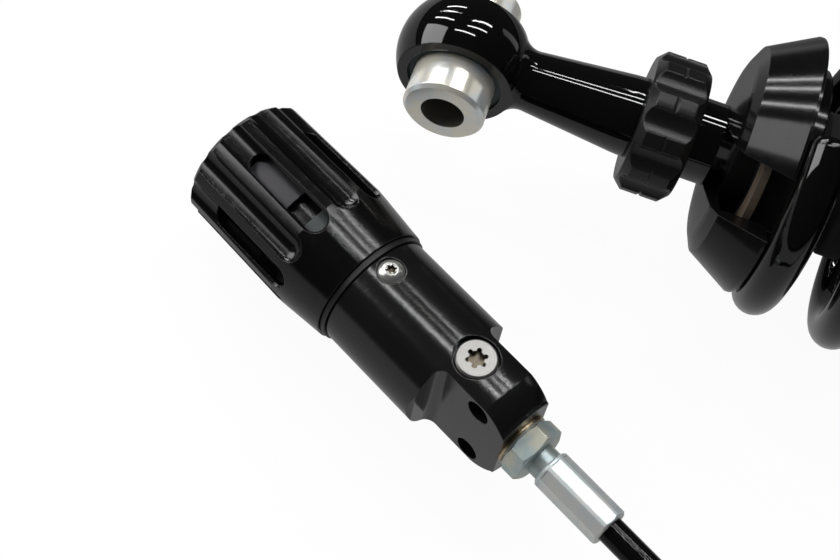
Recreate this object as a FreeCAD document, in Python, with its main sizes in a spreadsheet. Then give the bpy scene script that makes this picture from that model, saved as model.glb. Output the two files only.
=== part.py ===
# Motorcycle rear shock absorber with a hydraulic spring preload adjuster on a hose.
# Millimetres. Origin at the lower eye's bore centre, +X along the shock to the upper eye,
# +Y along the lower eye's bolt, +Z up. The adjuster's pieces are drawn along their own X axis,
# from the knob at negative X to the hose at positive X, and placed beside the shock.
import FreeCAD, Part
import math
import os
import Sketcher
from FreeCAD import Placement, Rotation, Vector

doc = FreeCAD.newDocument("RearShock")
sheet = doc.addObject("Spreadsheet::Sheet", "Sizes")
sub_parts = []


class Size:
    """A length known both as a number and as an expression in the sheet's cells."""

    def __init__(self, value, text):
        self.value = value
        self.text = text

    def __add__(self, other):
        other = sized(other)
        return Size(self.value + other.value, f"({self.text} + {other.text})")

    def __sub__(self, other):
        other = sized(other)
        return Size(self.value - other.value, f"({self.text} - {other.text})")

    def __rsub__(self, other):
        return sized(other) - self

    def __mul__(self, other):
        other = sized(other)
        return Size(self.value * other.value, f"{self.text} * {other.text}")

    def __truediv__(self, other):
        other = sized(other)
        return Size(self.value / other.value, f"{self.text} / {other.text}")

    def __neg__(self):
        return Size(-self.value, f"(0 - {self.text})")

    def __float__(self):
        return float(self.value)


def sized(number):
    return number if isinstance(number, Size) else Size(float(number), f"{number:.6f}")


def root(square):
    """Square root of a size."""
    return Size(math.sqrt(square.value), f"sqrt({square.text})")


def size(alias, value):
    """One driving dimension: a plain number in the next cell of the sheet, under its alias."""
    row = len(sheet.getUsedCells()) + 1
    sheet.set(f"A{row}", str(value))
    sheet.setAlias(f"A{row}", alias)
    return Size(float(value), f"Sizes.{alias}")


# Clearances
run_fit = size("run_fit", 0.05)
seat_fit = size("seat_fit", 0.03)
face_play = size("face_play", 0.15)
edge_chamfer = size("edge_chamfer", 0.5)

# Lower eye and its bearing
eye_ball_radius = size("eye_ball_radius", 18.6)
eye_half_width = size("eye_half_width", 9.1)
lower_sleeve_bore = size("lower_sleeve_bore", 6.1)
lower_sleeve_wall = size("lower_sleeve_wall", 5.4)
lower_sleeve_reach = size("lower_sleeve_reach", 10.7)
race_wall = size("race_wall", 1.9)
seal_thickness = size("seal_thickness", 2.2)
seal_recess = size("seal_recess", 0.9)
eye_fillet_start = size("eye_fillet_start", 15.4)
eye_fillet_end = size("eye_fillet_end", 20.5)
eye_fillet_radius = size("eye_fillet_radius", 5.5)
neck_slim_radius = size("neck_slim_radius", 8.6)
neck_wide_radius = size("neck_wide_radius", 11.2)
neck_wide_start = size("neck_wide_start", 47.0)
neck_land = size("neck_land", 3.5)
neck_lip = size("neck_lip", 0.2)
lower_sleeve_radius = lower_sleeve_bore + lower_sleeve_wall
eye_bore_radius = lower_sleeve_radius + race_wall
lower_sleeve_half = eye_half_width + lower_sleeve_reach
race_half_width = eye_half_width - seal_thickness - seal_recess
shoulder_radius = neck_wide_radius + neck_lip
wheel_start = neck_wide_start + neck_land

# Piston rod and everything on it
rod_radius = size("rod_radius", 8.0)
rod_bore = size("rod_bore", 3.05)
rod_step = size("rod_step", 2.0)
stroke = size("stroke", 60.0)
stop_gap = size("stop_gap", 0.4)
top_out_thickness = size("top_out_thickness", 2.0)
top_out_width = size("top_out_width", 5.0)
shim_stack = size("shim_stack", 2.4)
shim_inset = size("shim_inset", 4.0)
shim_step = size("shim_step", 3.0)
shim_discs = size("shim_discs", 3)
piston_length = size("piston_length", 13.6)
piston_clearance = size("piston_clearance", 0.3)
piston_ports = size("piston_ports", 6)
port_inset = size("port_inset", 4.0)
port_radius = size("port_radius", 2.2)
band_width = size("band_width", 7.5)
band_depth = size("band_depth", 1.35)
nut_length = size("nut_length", 7.6)
nut_wall = size("nut_wall", 3.8)
rod_tail_end = size("rod_tail_end", 2.0)
rod_tail_radius = rod_radius - rod_step
top_out_radius = rod_radius + top_out_width
nut_corner_radius = rod_tail_radius + nut_wall

# Rebound wheel, its journal and the lock collar
wheel_length = size("wheel_length", 15.5)
wheel_wall = size("wheel_wall", 9.7)
wheel_chamfer = size("wheel_chamfer", 2.4)
wheel_groove_depth = size("wheel_groove_depth", 0.5)
wheel_scallops = size("wheel_scallops", 11)
scallop_cutter = size("scallop_cutter", 5.5)
scallop_depth = size("scallop_depth", 1.7)
socket_wall = size("socket_wall", 2.3)
socket_depth = size("socket_depth", 5.5)
collar_gap = size("collar_gap", 0.3)
collar_length = size("collar_length", 7.2)
collar_wall = size("collar_wall", 3.6)
ball_radius = size("ball_radius", 1.5)
dimple_depth = size("dimple_depth", 0.4)
click_wall = size("click_wall", 0.6)
pin_groove_depth = size("pin_groove_depth", 2.1)
needle_pin_radius = size("needle_pin_radius", 1.5)
needle_travel = size("needle_travel", 1.0)
needle_tip_radius = size("needle_tip_radius", 1.0)
journal_radius = rod_radius + socket_wall
wheel_radius = journal_radius + wheel_wall
collar_radius = rod_radius + collar_wall
needle_radius = rod_bore - face_play

# Main spring
spring_outer_radius = size("spring_outer_radius", 41.0)
wire_diameter = size("wire_diameter", 11.5)
coil_advance = size("coil_advance", 23.5)
spring_flat_turns = size("spring_flat_turns", 0.245)
spring_swell = size("spring_swell", 1.9)
spring_swell_turns = size("spring_swell_turns", 1.0)
spring_blend_turns = size("spring_blend_turns", 0.15)
spring_start_angle = size("spring_start_angle", 110.0)
spring_seat_gap = size("spring_seat_gap", 0.3)
spans_per_turn = size("spans_per_turn", 4)
pilot_radius = spring_outer_radius - wire_diameter - spring_seat_gap

# Slotted spring retainer
rim_inset = size("rim_inset", 4.0)
corner_inset = size("corner_inset", 7.0)
step_inset = size("step_inset", 3.5)
plate_inset = size("plate_inset", 1.5)
hub_step = size("hub_step", 0.4)
retainer_dish = size("retainer_dish", 1.8)
retainer_step_rise = size("retainer_step_rise", 0.5)
retainer_corner_rise = size("retainer_corner_rise", 4.0)
retainer_cone_rise = size("retainer_cone_rise", 16.5)
retainer_seat_rise = size("retainer_seat_rise", 17.3)
retainer_plate_thickness = size("retainer_plate_thickness", 4.5)
pilot_wall = size("pilot_wall", 3.7)
pilot_length = size("pilot_length", 4.8)
slot_play = size("slot_play", 1.0)
slot_roll = size("slot_roll", 53.1)
retainer_rim_radius = spring_outer_radius - rim_inset
retainer_corner_radius = retainer_rim_radius - corner_inset
retainer_step_radius = retainer_corner_radius - step_inset
retainer_plate_radius = retainer_step_radius - plate_inset
retainer_hub_radius = collar_radius + hub_step
retainer_recess_radius = pilot_radius - pilot_wall
slot_half_width = rod_radius + slot_play

# Bump stop and its washer
washer_hub_length = size("washer_hub_length", 6.5)
washer_hub_wall = size("washer_hub_wall", 6.0)
washer_play = size("washer_play", 1.5)
bump_washer_thickness = size("bump_washer_thickness", 2.2)
bump_stop_wall = size("bump_stop_wall", 11.5)
bump_stop_length = size("bump_stop_length", 31.3)
bump_waist_depth = size("bump_waist_depth", 3.5)
bump_lobes = size("bump_lobes", 3)
bump_lobe_edge = size("bump_lobe_edge", 4)
washer_hub_radius = rod_radius + washer_hub_wall
bump_washer_radius = retainer_recess_radius - washer_play
bump_stop_radius = rod_radius + bump_stop_wall

# Damper tube, rod guide and its seals, floating piston
tube_bore = size("tube_bore", 20.0)
tube_wall = size("tube_wall", 3.0)
guide_flange = size("guide_flange", 3.0)
guide_length = size("guide_length", 21.6)
guide_ring_from_mouth = size("guide_ring_from_mouth", 16.2)
seal_room = size("seal_room", 4.5)
wiper_length = size("wiper_length", 5.0)
bush_wall = size("bush_wall", 1.5)
bush_land = size("bush_land", 1.0)
bush_length = size("bush_length", 7.0)
rod_seal_length = size("rod_seal_length", 6.6)
clip_thickness = size("clip_thickness", 1.5)
clip_groove_depth = size("clip_groove_depth", 1.25)
clip_reach = size("clip_reach", 2.5)
ring_section = size("ring_section", 1.3)
ring_squeeze = size("ring_squeeze", 0.1)
floating_length = size("floating_length", 10.0)
floating_rest_gap = size("floating_rest_gap", 64.0)
floating_groove_from_end = size("floating_groove_from_end", 3.0)
floating_cup_depth = size("floating_cup_depth", 6.0)
floating_cup_wall = size("floating_cup_wall", 5.2)
gas_room = size("gas_room", 12.1)
tube_radius = tube_bore + tube_wall
seal_pocket_radius = rod_radius + seal_room
bush_outer_radius = rod_radius + bush_wall
clip_inner_radius = tube_bore - clip_reach
shim_radius = tube_bore - shim_inset
port_ring_radius = shim_radius - port_inset

# Head, upper eye and gas valve
head_wall = size("head_wall", 4.0)
head_skirt = size("head_skirt", 12.0)
head_end_thickness = size("head_end_thickness", 12.0)
head_chamfer = size("head_chamfer", 2.0)
upper_neck_length = size("upper_neck_length", 15.0)
upper_ball_radius = size("upper_ball_radius", 17.0)
upper_half_width = size("upper_half_width", 8.0)
upper_sleeve_bore = size("upper_sleeve_bore", 5.1)
upper_sleeve_wall = size("upper_sleeve_wall", 4.9)
upper_sleeve_reach = size("upper_sleeve_reach", 7.0)
valve_radius = size("valve_radius", 4.0)
valve_depth = size("valve_depth", 10.0)
valve_room = size("valve_room", 6.0)
valve_passage_radius = size("valve_passage_radius", 1.5)
valve_passage_inset = size("valve_passage_inset", 6.5)
valve_flange_height = size("valve_flange_height", 3.0)
valve_flange_corner = size("valve_flange_corner", 6.2)
valve_stem_radius = size("valve_stem_radius", 3.0)
valve_stem_height = size("valve_stem_height", 6.5)
valve_cap_radius = size("valve_cap_radius", 4.6)
valve_cap_wall = size("valve_cap_wall", 1.2)
valve_cap_knurl = size("valve_cap_knurl", 0.25)
head_radius = tube_radius + head_wall
upper_sleeve_radius = upper_sleeve_bore + upper_sleeve_wall
upper_eye_bore = upper_sleeve_radius + race_wall
upper_sleeve_half = upper_half_width + upper_sleeve_reach
upper_race_half = upper_half_width - seal_thickness - seal_recess
valve_floor = tube_bore - valve_depth
valve_passage_height = tube_bore - valve_passage_inset

# Hydraulic preload jack and upper spring seat
jack_length = size("jack_length", 38.0)
jack_inner_wall = size("jack_inner_wall", 2.5)
jack_ring_width = size("jack_ring_width", 6.0)
jack_outer_wall = size("jack_outer_wall", 9.5)
jack_end_wall = size("jack_end_wall", 10.0)
jack_piston_length = size("jack_piston_length", 20.0)
jack_piston_proud = size("jack_piston_proud", 6.0)
jack_seal_back = size("jack_seal_back", 5.0)
jack_ring_section = size("jack_ring_section", 0.95)
upper_seat_thickness = size("upper_seat_thickness", 10.0)
upper_seat_inset = size("upper_seat_inset", 1.0)
port_from_mouth = size("port_from_mouth", 21.0)
port_thread_radius = size("port_thread_radius", 5.0)
port_depth = size("port_depth", 7.0)
port_drill_radius = size("port_drill_radius", 2.0)
spot_depth = size("spot_depth", 0.8)
jack_chamber_inner = tube_radius + jack_inner_wall
jack_chamber_outer = jack_chamber_inner + jack_ring_width
jack_radius = jack_chamber_outer + jack_outer_wall
upper_seat_radius = spring_outer_radius - upper_seat_inset

# Hose and its two end fittings
washer_wall = size("washer_wall", 2.9)
washer_thickness = size("washer_thickness", 0.8)
spot_play = size("spot_play", 1.1)
fitting_collar_radius = size("fitting_collar_radius", 7.3)
fitting_collar_length = size("fitting_collar_length", 0.4)
fitting_hex_corner = size("fitting_hex_corner", 8.67)
fitting_hex_length = size("fitting_hex_length", 5.8)
fitting_hex_chamfer = size("fitting_hex_chamfer", 0.85)
fitting_neck_radius = size("fitting_neck_radius", 4.5)
fitting_neck_length = size("fitting_neck_length", 3.5)
fitting_thread_length = size("fitting_thread_length", 6.0)
fitting_bore = size("fitting_bore", 2.0)
ferrule_radius = size("ferrule_radius", 5.6)
ferrule_length = size("ferrule_length", 21.5)
crimp_depth = size("crimp_depth", 0.25)
crimp_start = size("crimp_start", 1.2)
crimp_sides = size("crimp_sides", 8)
hose_diameter = size("hose_diameter", 7.5)
hose_straight_out = size("hose_straight_out", 26.0)
hose_straight_in = size("hose_straight_in", 21.5)
hose_corner_share = size("hose_corner_share", 0.45)
hex_roll = size("hex_roll", 47.5)
washer_radius = port_thread_radius + washer_wall
spot_radius = washer_radius + spot_play

# Preload adjuster's body, neck and plunger
adjuster_x = size("adjuster_x", -2.9)
adjuster_y = size("adjuster_y", -67.5)
adjuster_z = size("adjuster_z", -18.0)
adjuster_yaw = size("adjuster_yaw", -30.2)
adjuster_pitch = size("adjuster_pitch", -3.99)
body_radius = size("body_radius", 17.0)
body_start = size("body_start", 2.0)
body_length = size("body_length", 56.0)
body_crown_length = size("body_crown_length", 6.8)
body_crown_drop = size("body_crown_drop", 4.0)
body_crown_radius = size("body_crown_radius", 14.0)
body_edge_round = size("body_edge_round", 0.7)
body_wall = size("body_wall", 4.55)
chamber_back = size("chamber_back", 28.0)
channel_radius = size("channel_radius", 2.5)
flat_half_width = size("flat_half_width", 8.0)
flat_length = size("flat_length", 21.0)
flat_fillet = size("flat_fillet", 2.8)
flat_rounding = size("flat_rounding", 1.4)
mount_hole_back = size("mount_hole_back", 9.5)
mount_hole_offset = size("mount_hole_offset", 11.0)
mount_hole_radius = size("mount_hole_radius", 3.5)
bleed_back = size("bleed_back", 19.2)
bleed_recess_radius = size("bleed_recess_radius", 6.2)
bleed_ring_width = size("bleed_ring_width", 0.6)
bleed_sink = size("bleed_sink", 0.85)
bleed_head_height = size("bleed_head_height", 2.6)
bleed_shank_radius = size("bleed_shank_radius", 4.0)
bleed_shank_length = size("bleed_shank_length", 8.5)
bleed_star_tip = size("bleed_star_tip", 3.0)
bleed_star_depth = size("bleed_star_depth", 2.0)
lock_screw_x = size("lock_screw_x", 6.7)
lock_head_radius = size("lock_head_radius", 3.8)
lock_head_height = size("lock_head_height", 2.1)
lock_head_rim = size("lock_head_rim", 0.5)
lock_sink = size("lock_sink", 1.4)
lock_shank_radius = size("lock_shank_radius", 2.0)
lock_shank_depth = size("lock_shank_depth", 4.6)
lock_star_tip = size("lock_star_tip", 1.5)
lock_star_depth = size("lock_star_depth", 1.4)
star_lobes = size("star_lobes", 6)
star_valley_share = size("star_valley_share", 0.68)
star_lobe_share = size("star_lobe_share", 0.22)
journal_step = size("journal_step", 2.5)
neck_journal_length = size("neck_journal_length", 10.0)
thread_step = size("thread_step", 1.6)
neck_thread_length = size("neck_thread_length", 24.5)
neck_spigot_length = size("neck_spigot_length", 7.3)
plunger_rod_radius = size("plunger_rod_radius", 5.0)
plunger_tail_radius = size("plunger_tail_radius", 3.0)
plunger_start = size("plunger_start", 14.0)
plunger_length = size("plunger_length", 8.0)
plunger_clip_thickness = size("plunger_clip_thickness", 1.2)
click_base = size("click_base", 2.25)
seam_gap = size("seam_gap", 0.09)
seam_ring_proud = size("seam_ring_proud", 0.6)
seam_ring_length = size("seam_ring_length", 1.6)
body_end = body_start + body_length
body_end_radius = body_radius - body_crown_drop
chamber_radius = body_radius - body_wall
chamber_end = body_start + chamber_back
flat_start = body_end - flat_length
mount_hole_x = body_end - mount_hole_back
bleed_x = body_end - bleed_back
bleed_head_radius = bleed_recess_radius - bleed_ring_width
bleed_head_top = body_radius - bleed_sink
lock_seat_height = body_radius - lock_sink
neck_journal_radius = body_radius - journal_step
neck_thread_radius = neck_journal_radius - thread_step
seam_ring_radius = body_radius + seam_ring_proud

# Knob, its inner rings and the indicator nut
knob_end = size("knob_end", -52.5)
knob_room = size("knob_room", 1.1)
knob_wall = size("knob_wall", 3.85)
knob_widening = size("knob_widening", 0.5)
knob_wide_back = size("knob_wide_back", 8.6)
knob_seam_proud = size("knob_seam_proud", 1.25)
knob_chamfer = size("knob_chamfer", 1.3)
knob_roll = size("knob_roll", 17.3)
flute_count = size("flute_count", 12)
flute_cutter = size("flute_cutter", 5.1)
flute_depth = size("flute_depth", 1.75)
window_count = size("window_count", 6)
window_from_end = size("window_from_end", 10.2)
window_from_journal = size("window_from_journal", 5.3)
window_half_width = size("window_half_width", 3.2)
cap_thickness = size("cap_thickness", 3.3)
cap_seat_width = size("cap_seat_width", 0.6)
cap_holes = size("cap_holes", 2)
key_half_width = size("key_half_width", 1.3)
key_height = size("key_height", 1.0)
keyway_play = size("keyway_play", 0.1)
nut_from_end = size("nut_from_end", 10.7)
nut_travel_length = size("nut_travel_length", 15.8)
nut_plate = size("nut_plate", 1.8)
nut_play = size("nut_play", 0.4)
nut_thread_play = size("nut_thread_play", 0.1)
guide_ring_back = size("guide_ring_back", 11.0)
guide_ring_length = size("guide_ring_length", 6.3)
guide_ring_play = size("guide_ring_play", 0.6)
knob_clip_play = size("knob_clip_play", 0.3)
journal_start = body_start - neck_journal_length
thread_start = journal_start - neck_thread_length
spigot_end = body_start + neck_spigot_length
knob_bore = neck_journal_radius + knob_room
knob_radius = knob_bore + knob_wall
knob_wide_radius = knob_radius + knob_widening
knob_wide_x = journal_start - knob_wide_back
knob_seam_radius = body_radius + knob_seam_proud
flute_centre = knob_radius + flute_cutter - flute_depth
window_start = knob_end + window_from_end
window_end = journal_start - window_from_journal
cap_radius = knob_bore + cap_seat_width
key_radius = knob_bore + key_height
nut_start = knob_end + nut_from_end
nut_end = nut_start + nut_travel_length
nut_radius = knob_bore - nut_play
nut_bore = neck_thread_radius + nut_thread_play
guide_ring_start = journal_start - guide_ring_back
guide_ring_radius = knob_bore - guide_ring_play
knob_clip_radius = knob_bore - knob_clip_play


# Placements of whole sub-parts
along_shock = Placement()
adjuster_place = Placement(
    Vector(float(adjuster_x), float(adjuster_y), float(adjuster_z)),
    Rotation(float(adjuster_yaw), float(adjuster_pitch), 0),
)


def turned_about_x(degrees):
    return Placement(Vector(), Rotation(Vector(1, 0, 0), float(degrees)))


def shifted(x=0, y=0, z=0):
    return Placement(Vector(float(x), float(y), float(z)), Rotation())


# Rotations that lay a primitive's own Z axis along X, along Y or against Y
along_x = Rotation(Vector(0, 1, 0), 90)
along_y = Rotation(Vector(1, 0, 0), -90)
against_y = Rotation(Vector(1, 0, 0), 90)
along_z = Rotation()


class Piece:
    """A sub-part as a body: turned outlines, added and removed primitives, polar patterns."""

    def __init__(self, label, place=None):
        self.body = doc.addObject("PartDesign::Body", label)
        self.body.Label = label
        self.body.Placement = place or Placement()
        self.label = label
        self.count = 0
        sub_parts.append(self.body)

    def name(self, kind):
        self.count += 1
        return f"{self.label}_{kind}_{self.count}"

    def origin(self, role):
        return next(f for f in self.body.Origin.OriginFeatures if f.Role == role)

    def sketch(self, role, points):
        """A closed outline through points, each (across, up) or (across, up, radius).

        A third value makes the edge that reaches the point an arc of that radius, with its centre
        to the left of the way for a positive one and to the right for a negative one.
        """
        drawing = self.body.newObject("Sketcher::SketchObject", self.name("outline"))
        drawing.AttachmentSupport = [(self.origin(role), "")]
        drawing.MapMode = "FlatFace"
        places = [Vector(float(p[0]), float(p[1]), 0) for p in points]
        ends = []
        for i in range(len(points)):
            reached = points[(i + 1) % len(points)]
            a, b = places[i], places[(i + 1) % len(points)]
            if len(reached) == 2:
                drawing.addGeometry(Part.LineSegment(a, b), False)
                ends.append((1, 2))
                continue
            radius = float(reached[2])
            half = (b - a) * 0.5
            left = Vector(-half.y, half.x, 0).normalize()
            rise = math.sqrt(max(radius * radius - half.Length**2, 0))
            centre = a + half + left * math.copysign(rise, radius)
            turn = [math.atan2(p.y - centre.y, p.x - centre.x) for p in (a, b)]
            first, last = turn if radius > 0 else turn[::-1]
            circle = Part.Circle(centre, Vector(0, 0, 1), abs(radius))
            drawing.addGeometry(Part.ArcOfCircle(circle, first, last), False)
            ends.append((1, 2) if radius > 0 else (2, 1))
        joints = []
        for i in range(len(points)):
            after = (i + 1) % len(points)
            joints.append(Sketcher.Constraint("Coincident", i, ends[i][1], after, ends[after][0]))
        drawing.addConstraint(joints)
        for i, point in enumerate(points):
            spot = (i, ends[i][0])
            self.fix(drawing, f"across{i}", "DistanceX", -2, spot, point[0])
            self.fix(drawing, f"up{i}", "DistanceY", -1, spot, point[1])
            if len(point) == 3:
                edge = (i - 1) % len(points)
                radius = point[2] if float(point[2]) > 0 else -point[2]
                number = drawing.addConstraint(Sketcher.Constraint("Radius", edge, float(radius)))
                drawing.renameConstraint(number, f"radius{i}")
                drawing.setExpression(f"Constraints.radius{i}", sized(radius).text)
        return drawing

    def fix(self, drawing, name, kind, axis, spot, length):
        """Places one coordinate of an outline's point, on the axis itself where it is zero."""
        if not isinstance(length, Size) and length == 0:
            drawing.addConstraint(Sketcher.Constraint("PointOnObject", *spot, axis))
            return
        number = drawing.addConstraint(Sketcher.Constraint(kind, -1, 1, *spot, float(length)))
        drawing.renameConstraint(number, name)
        drawing.setExpression(f"Constraints.{name}", sized(length).text)

    def turn(self, points, role="XZ_Plane", axis="H_Axis", kind="Revolution"):
        """A solid, or with kind Groove a cut, turned from an outline."""
        drawing = self.sketch(role, points)
        feature = self.body.newObject(f"PartDesign::{kind}", self.name("turned"))
        feature.Profile = drawing
        feature.ReferenceAxis = (drawing, [axis])
        feature.Angle = 360
        return feature

    def primitive(self, kind, at, rotation, sizes):
        feature = self.body.newObject(f"PartDesign::{kind}", self.name("form"))
        feature.Placement = Placement(Vector(*(float(c) for c in at)), rotation)
        for axis, length in zip("xyz", at):
            feature.setExpression(f"Placement.Base.{axis}", sized(length).text)
        for name, length in sizes.items():
            feature.setExpression(name, sized(length).text)
        return feature

    def cylinder(self, at, rotation, radius, length, kind="SubtractiveCylinder"):
        return self.primitive(kind, at, rotation, {"Radius": radius, "Height": length})

    def box(self, at, sizes, kind="SubtractiveBox"):
        named = dict(zip(("Length", "Width", "Height"), sizes))
        return self.primitive(kind, at, along_z, named)

    def ball(self, at, radius, kind="SubtractiveSphere"):
        return self.primitive(kind, at, along_z, {"Radius": radius})

    def hexagon(self, at, rotation, corner, length, kind="AdditivePrism"):
        feature = self.primitive(kind, at, rotation, {"Circumradius": corner, "Height": length})
        feature.Polygon = 6
        return feature

    def repeat(self, features, count, role="X_Axis"):
        """Copies of features evenly round an axis."""
        pattern = self.body.newObject("PartDesign::PolarPattern", self.name("pattern"))
        pattern.Originals = features
        pattern.Axis = (self.origin(role), [""])
        pattern.Angle = 360
        pattern.setExpression("Occurrences", count.text)
        self.body.Tip = pattern
        return pattern


def ring(label, start, end, inner, outer, place=None, role="XZ_Plane"):
    """A plain turned ring from start to end on the X axis, or on Y in the YZ plane."""
    piece = Piece(label, place)
    piece.turn([(start, inner), (end, inner), (end, outer), (start, outer)], role)
    return piece


def o_ring(label, at, radius, section, place=None):
    """A torus round the X axis, as a primitive."""
    seal = doc.addObject("Part::Torus", label)
    seal.Label = label
    seal.Placement = (place or Placement()).multiply(Placement(Vector(float(at), 0, 0), along_x))
    seal.setExpression("Radius1", sized(radius).text)
    seal.setExpression("Radius2", sized(section).text)
    sub_parts.append(seal)
    return seal


def group(label, pieces):
    """Joins separate solids of one kind into one node, as a compound."""
    for piece in pieces:
        sub_parts.remove(piece)
    bundle = doc.addObject("Part::Compound", label)
    bundle.Label = label
    bundle.Links = pieces
    sub_parts.append(bundle)
    return bundle


def star_recess(piece, top, tip, depth):
    """A six-lobed driver recess cut downwards from a screw's head."""
    lobe_radius = tip * star_lobe_share
    piece.cylinder((0, 0, top - depth), along_z, tip * star_valley_share, depth + edge_chamfer)
    lobe = piece.cylinder((tip - lobe_radius, 0, top - depth), along_z, lobe_radius, depth + edge_chamfer)
    piece.repeat([lobe], star_lobes, "Z_Axis")


# Lower eye: a ball with flats, a tapered neck, the wheel's journal and the rod's socket
wheel_end = wheel_start + wheel_length
journal_end = wheel_end + collar_gap / 2
rod_start = wheel_end - socket_depth
pin_x = wheel_start + wheel_length / 2
pin_half_way = needle_pin_radius + needle_travel + face_play
click_x = wheel_start + ball_radius * 2 + face_play
click_spring_floor = rod_bore + click_wall


def eye_ball_cuts(piece, x, ball, half_width, bore, cut_end):
    """Flats either side of an eye, and its bore along Y."""
    reach = ball + ball
    for y in (half_width, -half_width - reach):
        piece.box((x - reach, y, -reach), (reach + cut_end, reach, reach + reach))
    piece.cylinder((x, -reach, 0), along_y, bore, reach + reach)


def lower_eye():
    piece = Piece("lower_eye")
    fillet_height = root(eye_ball_radius * eye_ball_radius - eye_fillet_start * eye_fillet_start)
    piece.turn([
        (-eye_ball_radius, 0),
        (eye_fillet_start, fillet_height, -eye_ball_radius),
        (eye_fillet_end, neck_slim_radius, eye_fillet_radius),
        (neck_wide_start, neck_wide_radius),
        (wheel_start - face_play, shoulder_radius),
        (wheel_start - face_play, journal_radius),
        (journal_end, journal_radius),
        (journal_end, 0),
    ])
    eye_ball_cuts(piece, 0, eye_ball_radius, eye_half_width, eye_bore_radius, eye_fillet_end)
    piece.cylinder((rod_start, 0, 0), along_x, rod_radius + seat_fit, socket_depth + collar_gap)
    needle_room = pin_x - pin_half_way - wheel_chamfer
    piece.cylinder((needle_room, 0, 0), along_x, rod_bore, rod_start - needle_room + edge_chamfer)
    width = needle_pin_radius + run_fit
    piece.box(
        (pin_x - pin_half_way, -width, -journal_radius * 2),
        (pin_half_way * 2, width * 2, journal_radius * 4),
    )
    piece.cylinder((click_x, -click_spring_floor, 0), against_y, ball_radius + run_fit, journal_radius)


def eye_bearing(prefix, x, bore, sleeve, race_half, seal, sleeve_bore, sleeve_half):
    """The race pressed into an eye, a seal at each of its ends and the sleeve that turns in it."""
    place = shifted(x)
    side = "YZ_Plane"
    outer = bore - seat_fit
    ring(f"{prefix}_bearing_race", -race_half, race_half, sleeve + run_fit, outer, place, side)
    inner = sleeve + run_fit * 2
    near = ring(f"{prefix}_near_seal", -race_half - seal, -race_half, inner, outer, place, side)
    far = ring(f"{prefix}_far_seal", race_half, race_half + seal, inner, outer, place, side)
    group(f"{prefix}_eye_seals", [near.body, far.body])
    tube = Piece(f"{prefix}_eye_sleeve", place)
    end = sleeve_half
    round_edge = edge_chamfer * 2
    tube.turn([
        (-end, sleeve_bore),
        (end, sleeve_bore),
        (end, sleeve - round_edge),
        (end - round_edge, sleeve),
        (round_edge - end, sleeve),
        (-end, sleeve - round_edge),
    ], side)


# Rebound wheel with a fine groove, scallops, and inner grooves for the cross pin and the click ball
def rebound_wheel():
    piece = Piece("rebound_wheel")
    inner = journal_radius + run_fit
    groove = inner + pin_groove_depth
    track = ball_radius + face_play
    middle = wheel_start + wheel_length / 2
    width = wheel_groove_depth
    piece.turn([
        (wheel_start, inner),
        (pin_x - pin_half_way, inner),
        (pin_x - pin_half_way, groove),
        (pin_x + pin_half_way, groove),
        (pin_x + pin_half_way, inner),
        (wheel_end, inner),
        (wheel_end, wheel_radius - wheel_chamfer),
        (wheel_end - wheel_chamfer, wheel_radius),
        (middle + width, wheel_radius),
        (middle, wheel_radius - width),
        (middle - width, wheel_radius),
        (wheel_start + wheel_chamfer, wheel_radius),
        (wheel_start, wheel_radius - wheel_chamfer),
    ])
    click = inner + dimple_depth + face_play
    piece.turn([
        (click_x - track, inner - face_play),
        (click_x + track, inner - face_play),
        (click_x + track / 2, click),
        (click_x - track / 2, click),
    ], kind="Groove")
    scallop = piece.cylinder(
        (wheel_start - face_play, 0, wheel_radius + scallop_cutter - scallop_depth),
        along_x, scallop_cutter, wheel_length + face_play * 2,
    )
    piece.repeat([scallop], wheel_scallops)


def wheel_clicks():
    """The ball that the wheel clicks on, and the spring under it, in the journal's side."""
    click = Piece("wheel_detent_ball", shifted(click_x, float(ball_radius - journal_radius - dimple_depth)))
    click.ball((0, 0, 0), ball_radius, "AdditiveSphere")
    spring = Piece("wheel_detent_spring", shifted(click_x))
    outer_end = journal_radius - ball_radius * 2 + dimple_depth
    spring.turn([
        (-outer_end, ball_radius / 2),
        (-click_spring_floor, ball_radius / 2),
        (-click_spring_floor, ball_radius),
        (-outer_end, ball_radius),
    ], "YZ_Plane")


def rebound_needle():
    needle = Piece("rebound_needle")
    start = pin_x - needle_pin_radius * 2
    tip = piston_x - stop_gap
    needle.turn([
        (start, 0),
        (start, needle_radius),
        (tip - needle_radius, needle_radius),
        (tip, needle_tip_radius),
        (tip, 0),
    ])
    needle.cylinder((pin_x, 0, -needle_radius * 2), along_z, needle_pin_radius + seat_fit, needle_radius * 4)
    pin = Piece("needle_cross_pin", shifted(pin_x))
    reach = journal_radius + ball_radius
    pin.cylinder((0, 0, -reach), along_z, needle_pin_radius, reach * 2, "AdditiveCylinder")


# Spring retainer, with the slot that lets it slip over the rod
collar_start = wheel_end + collar_gap
collar_end = collar_start + collar_length
seat_x = collar_end + retainer_seat_rise
rod_hole = rod_radius + seat_fit


def lock_collar():
    piece = Piece("lock_collar")
    piece.turn([
        (collar_start, rod_hole),
        (collar_end, rod_hole),
        (collar_end, collar_radius),
        (collar_start + edge_chamfer, collar_radius),
        (collar_start, collar_radius - edge_chamfer),
    ])


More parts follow.
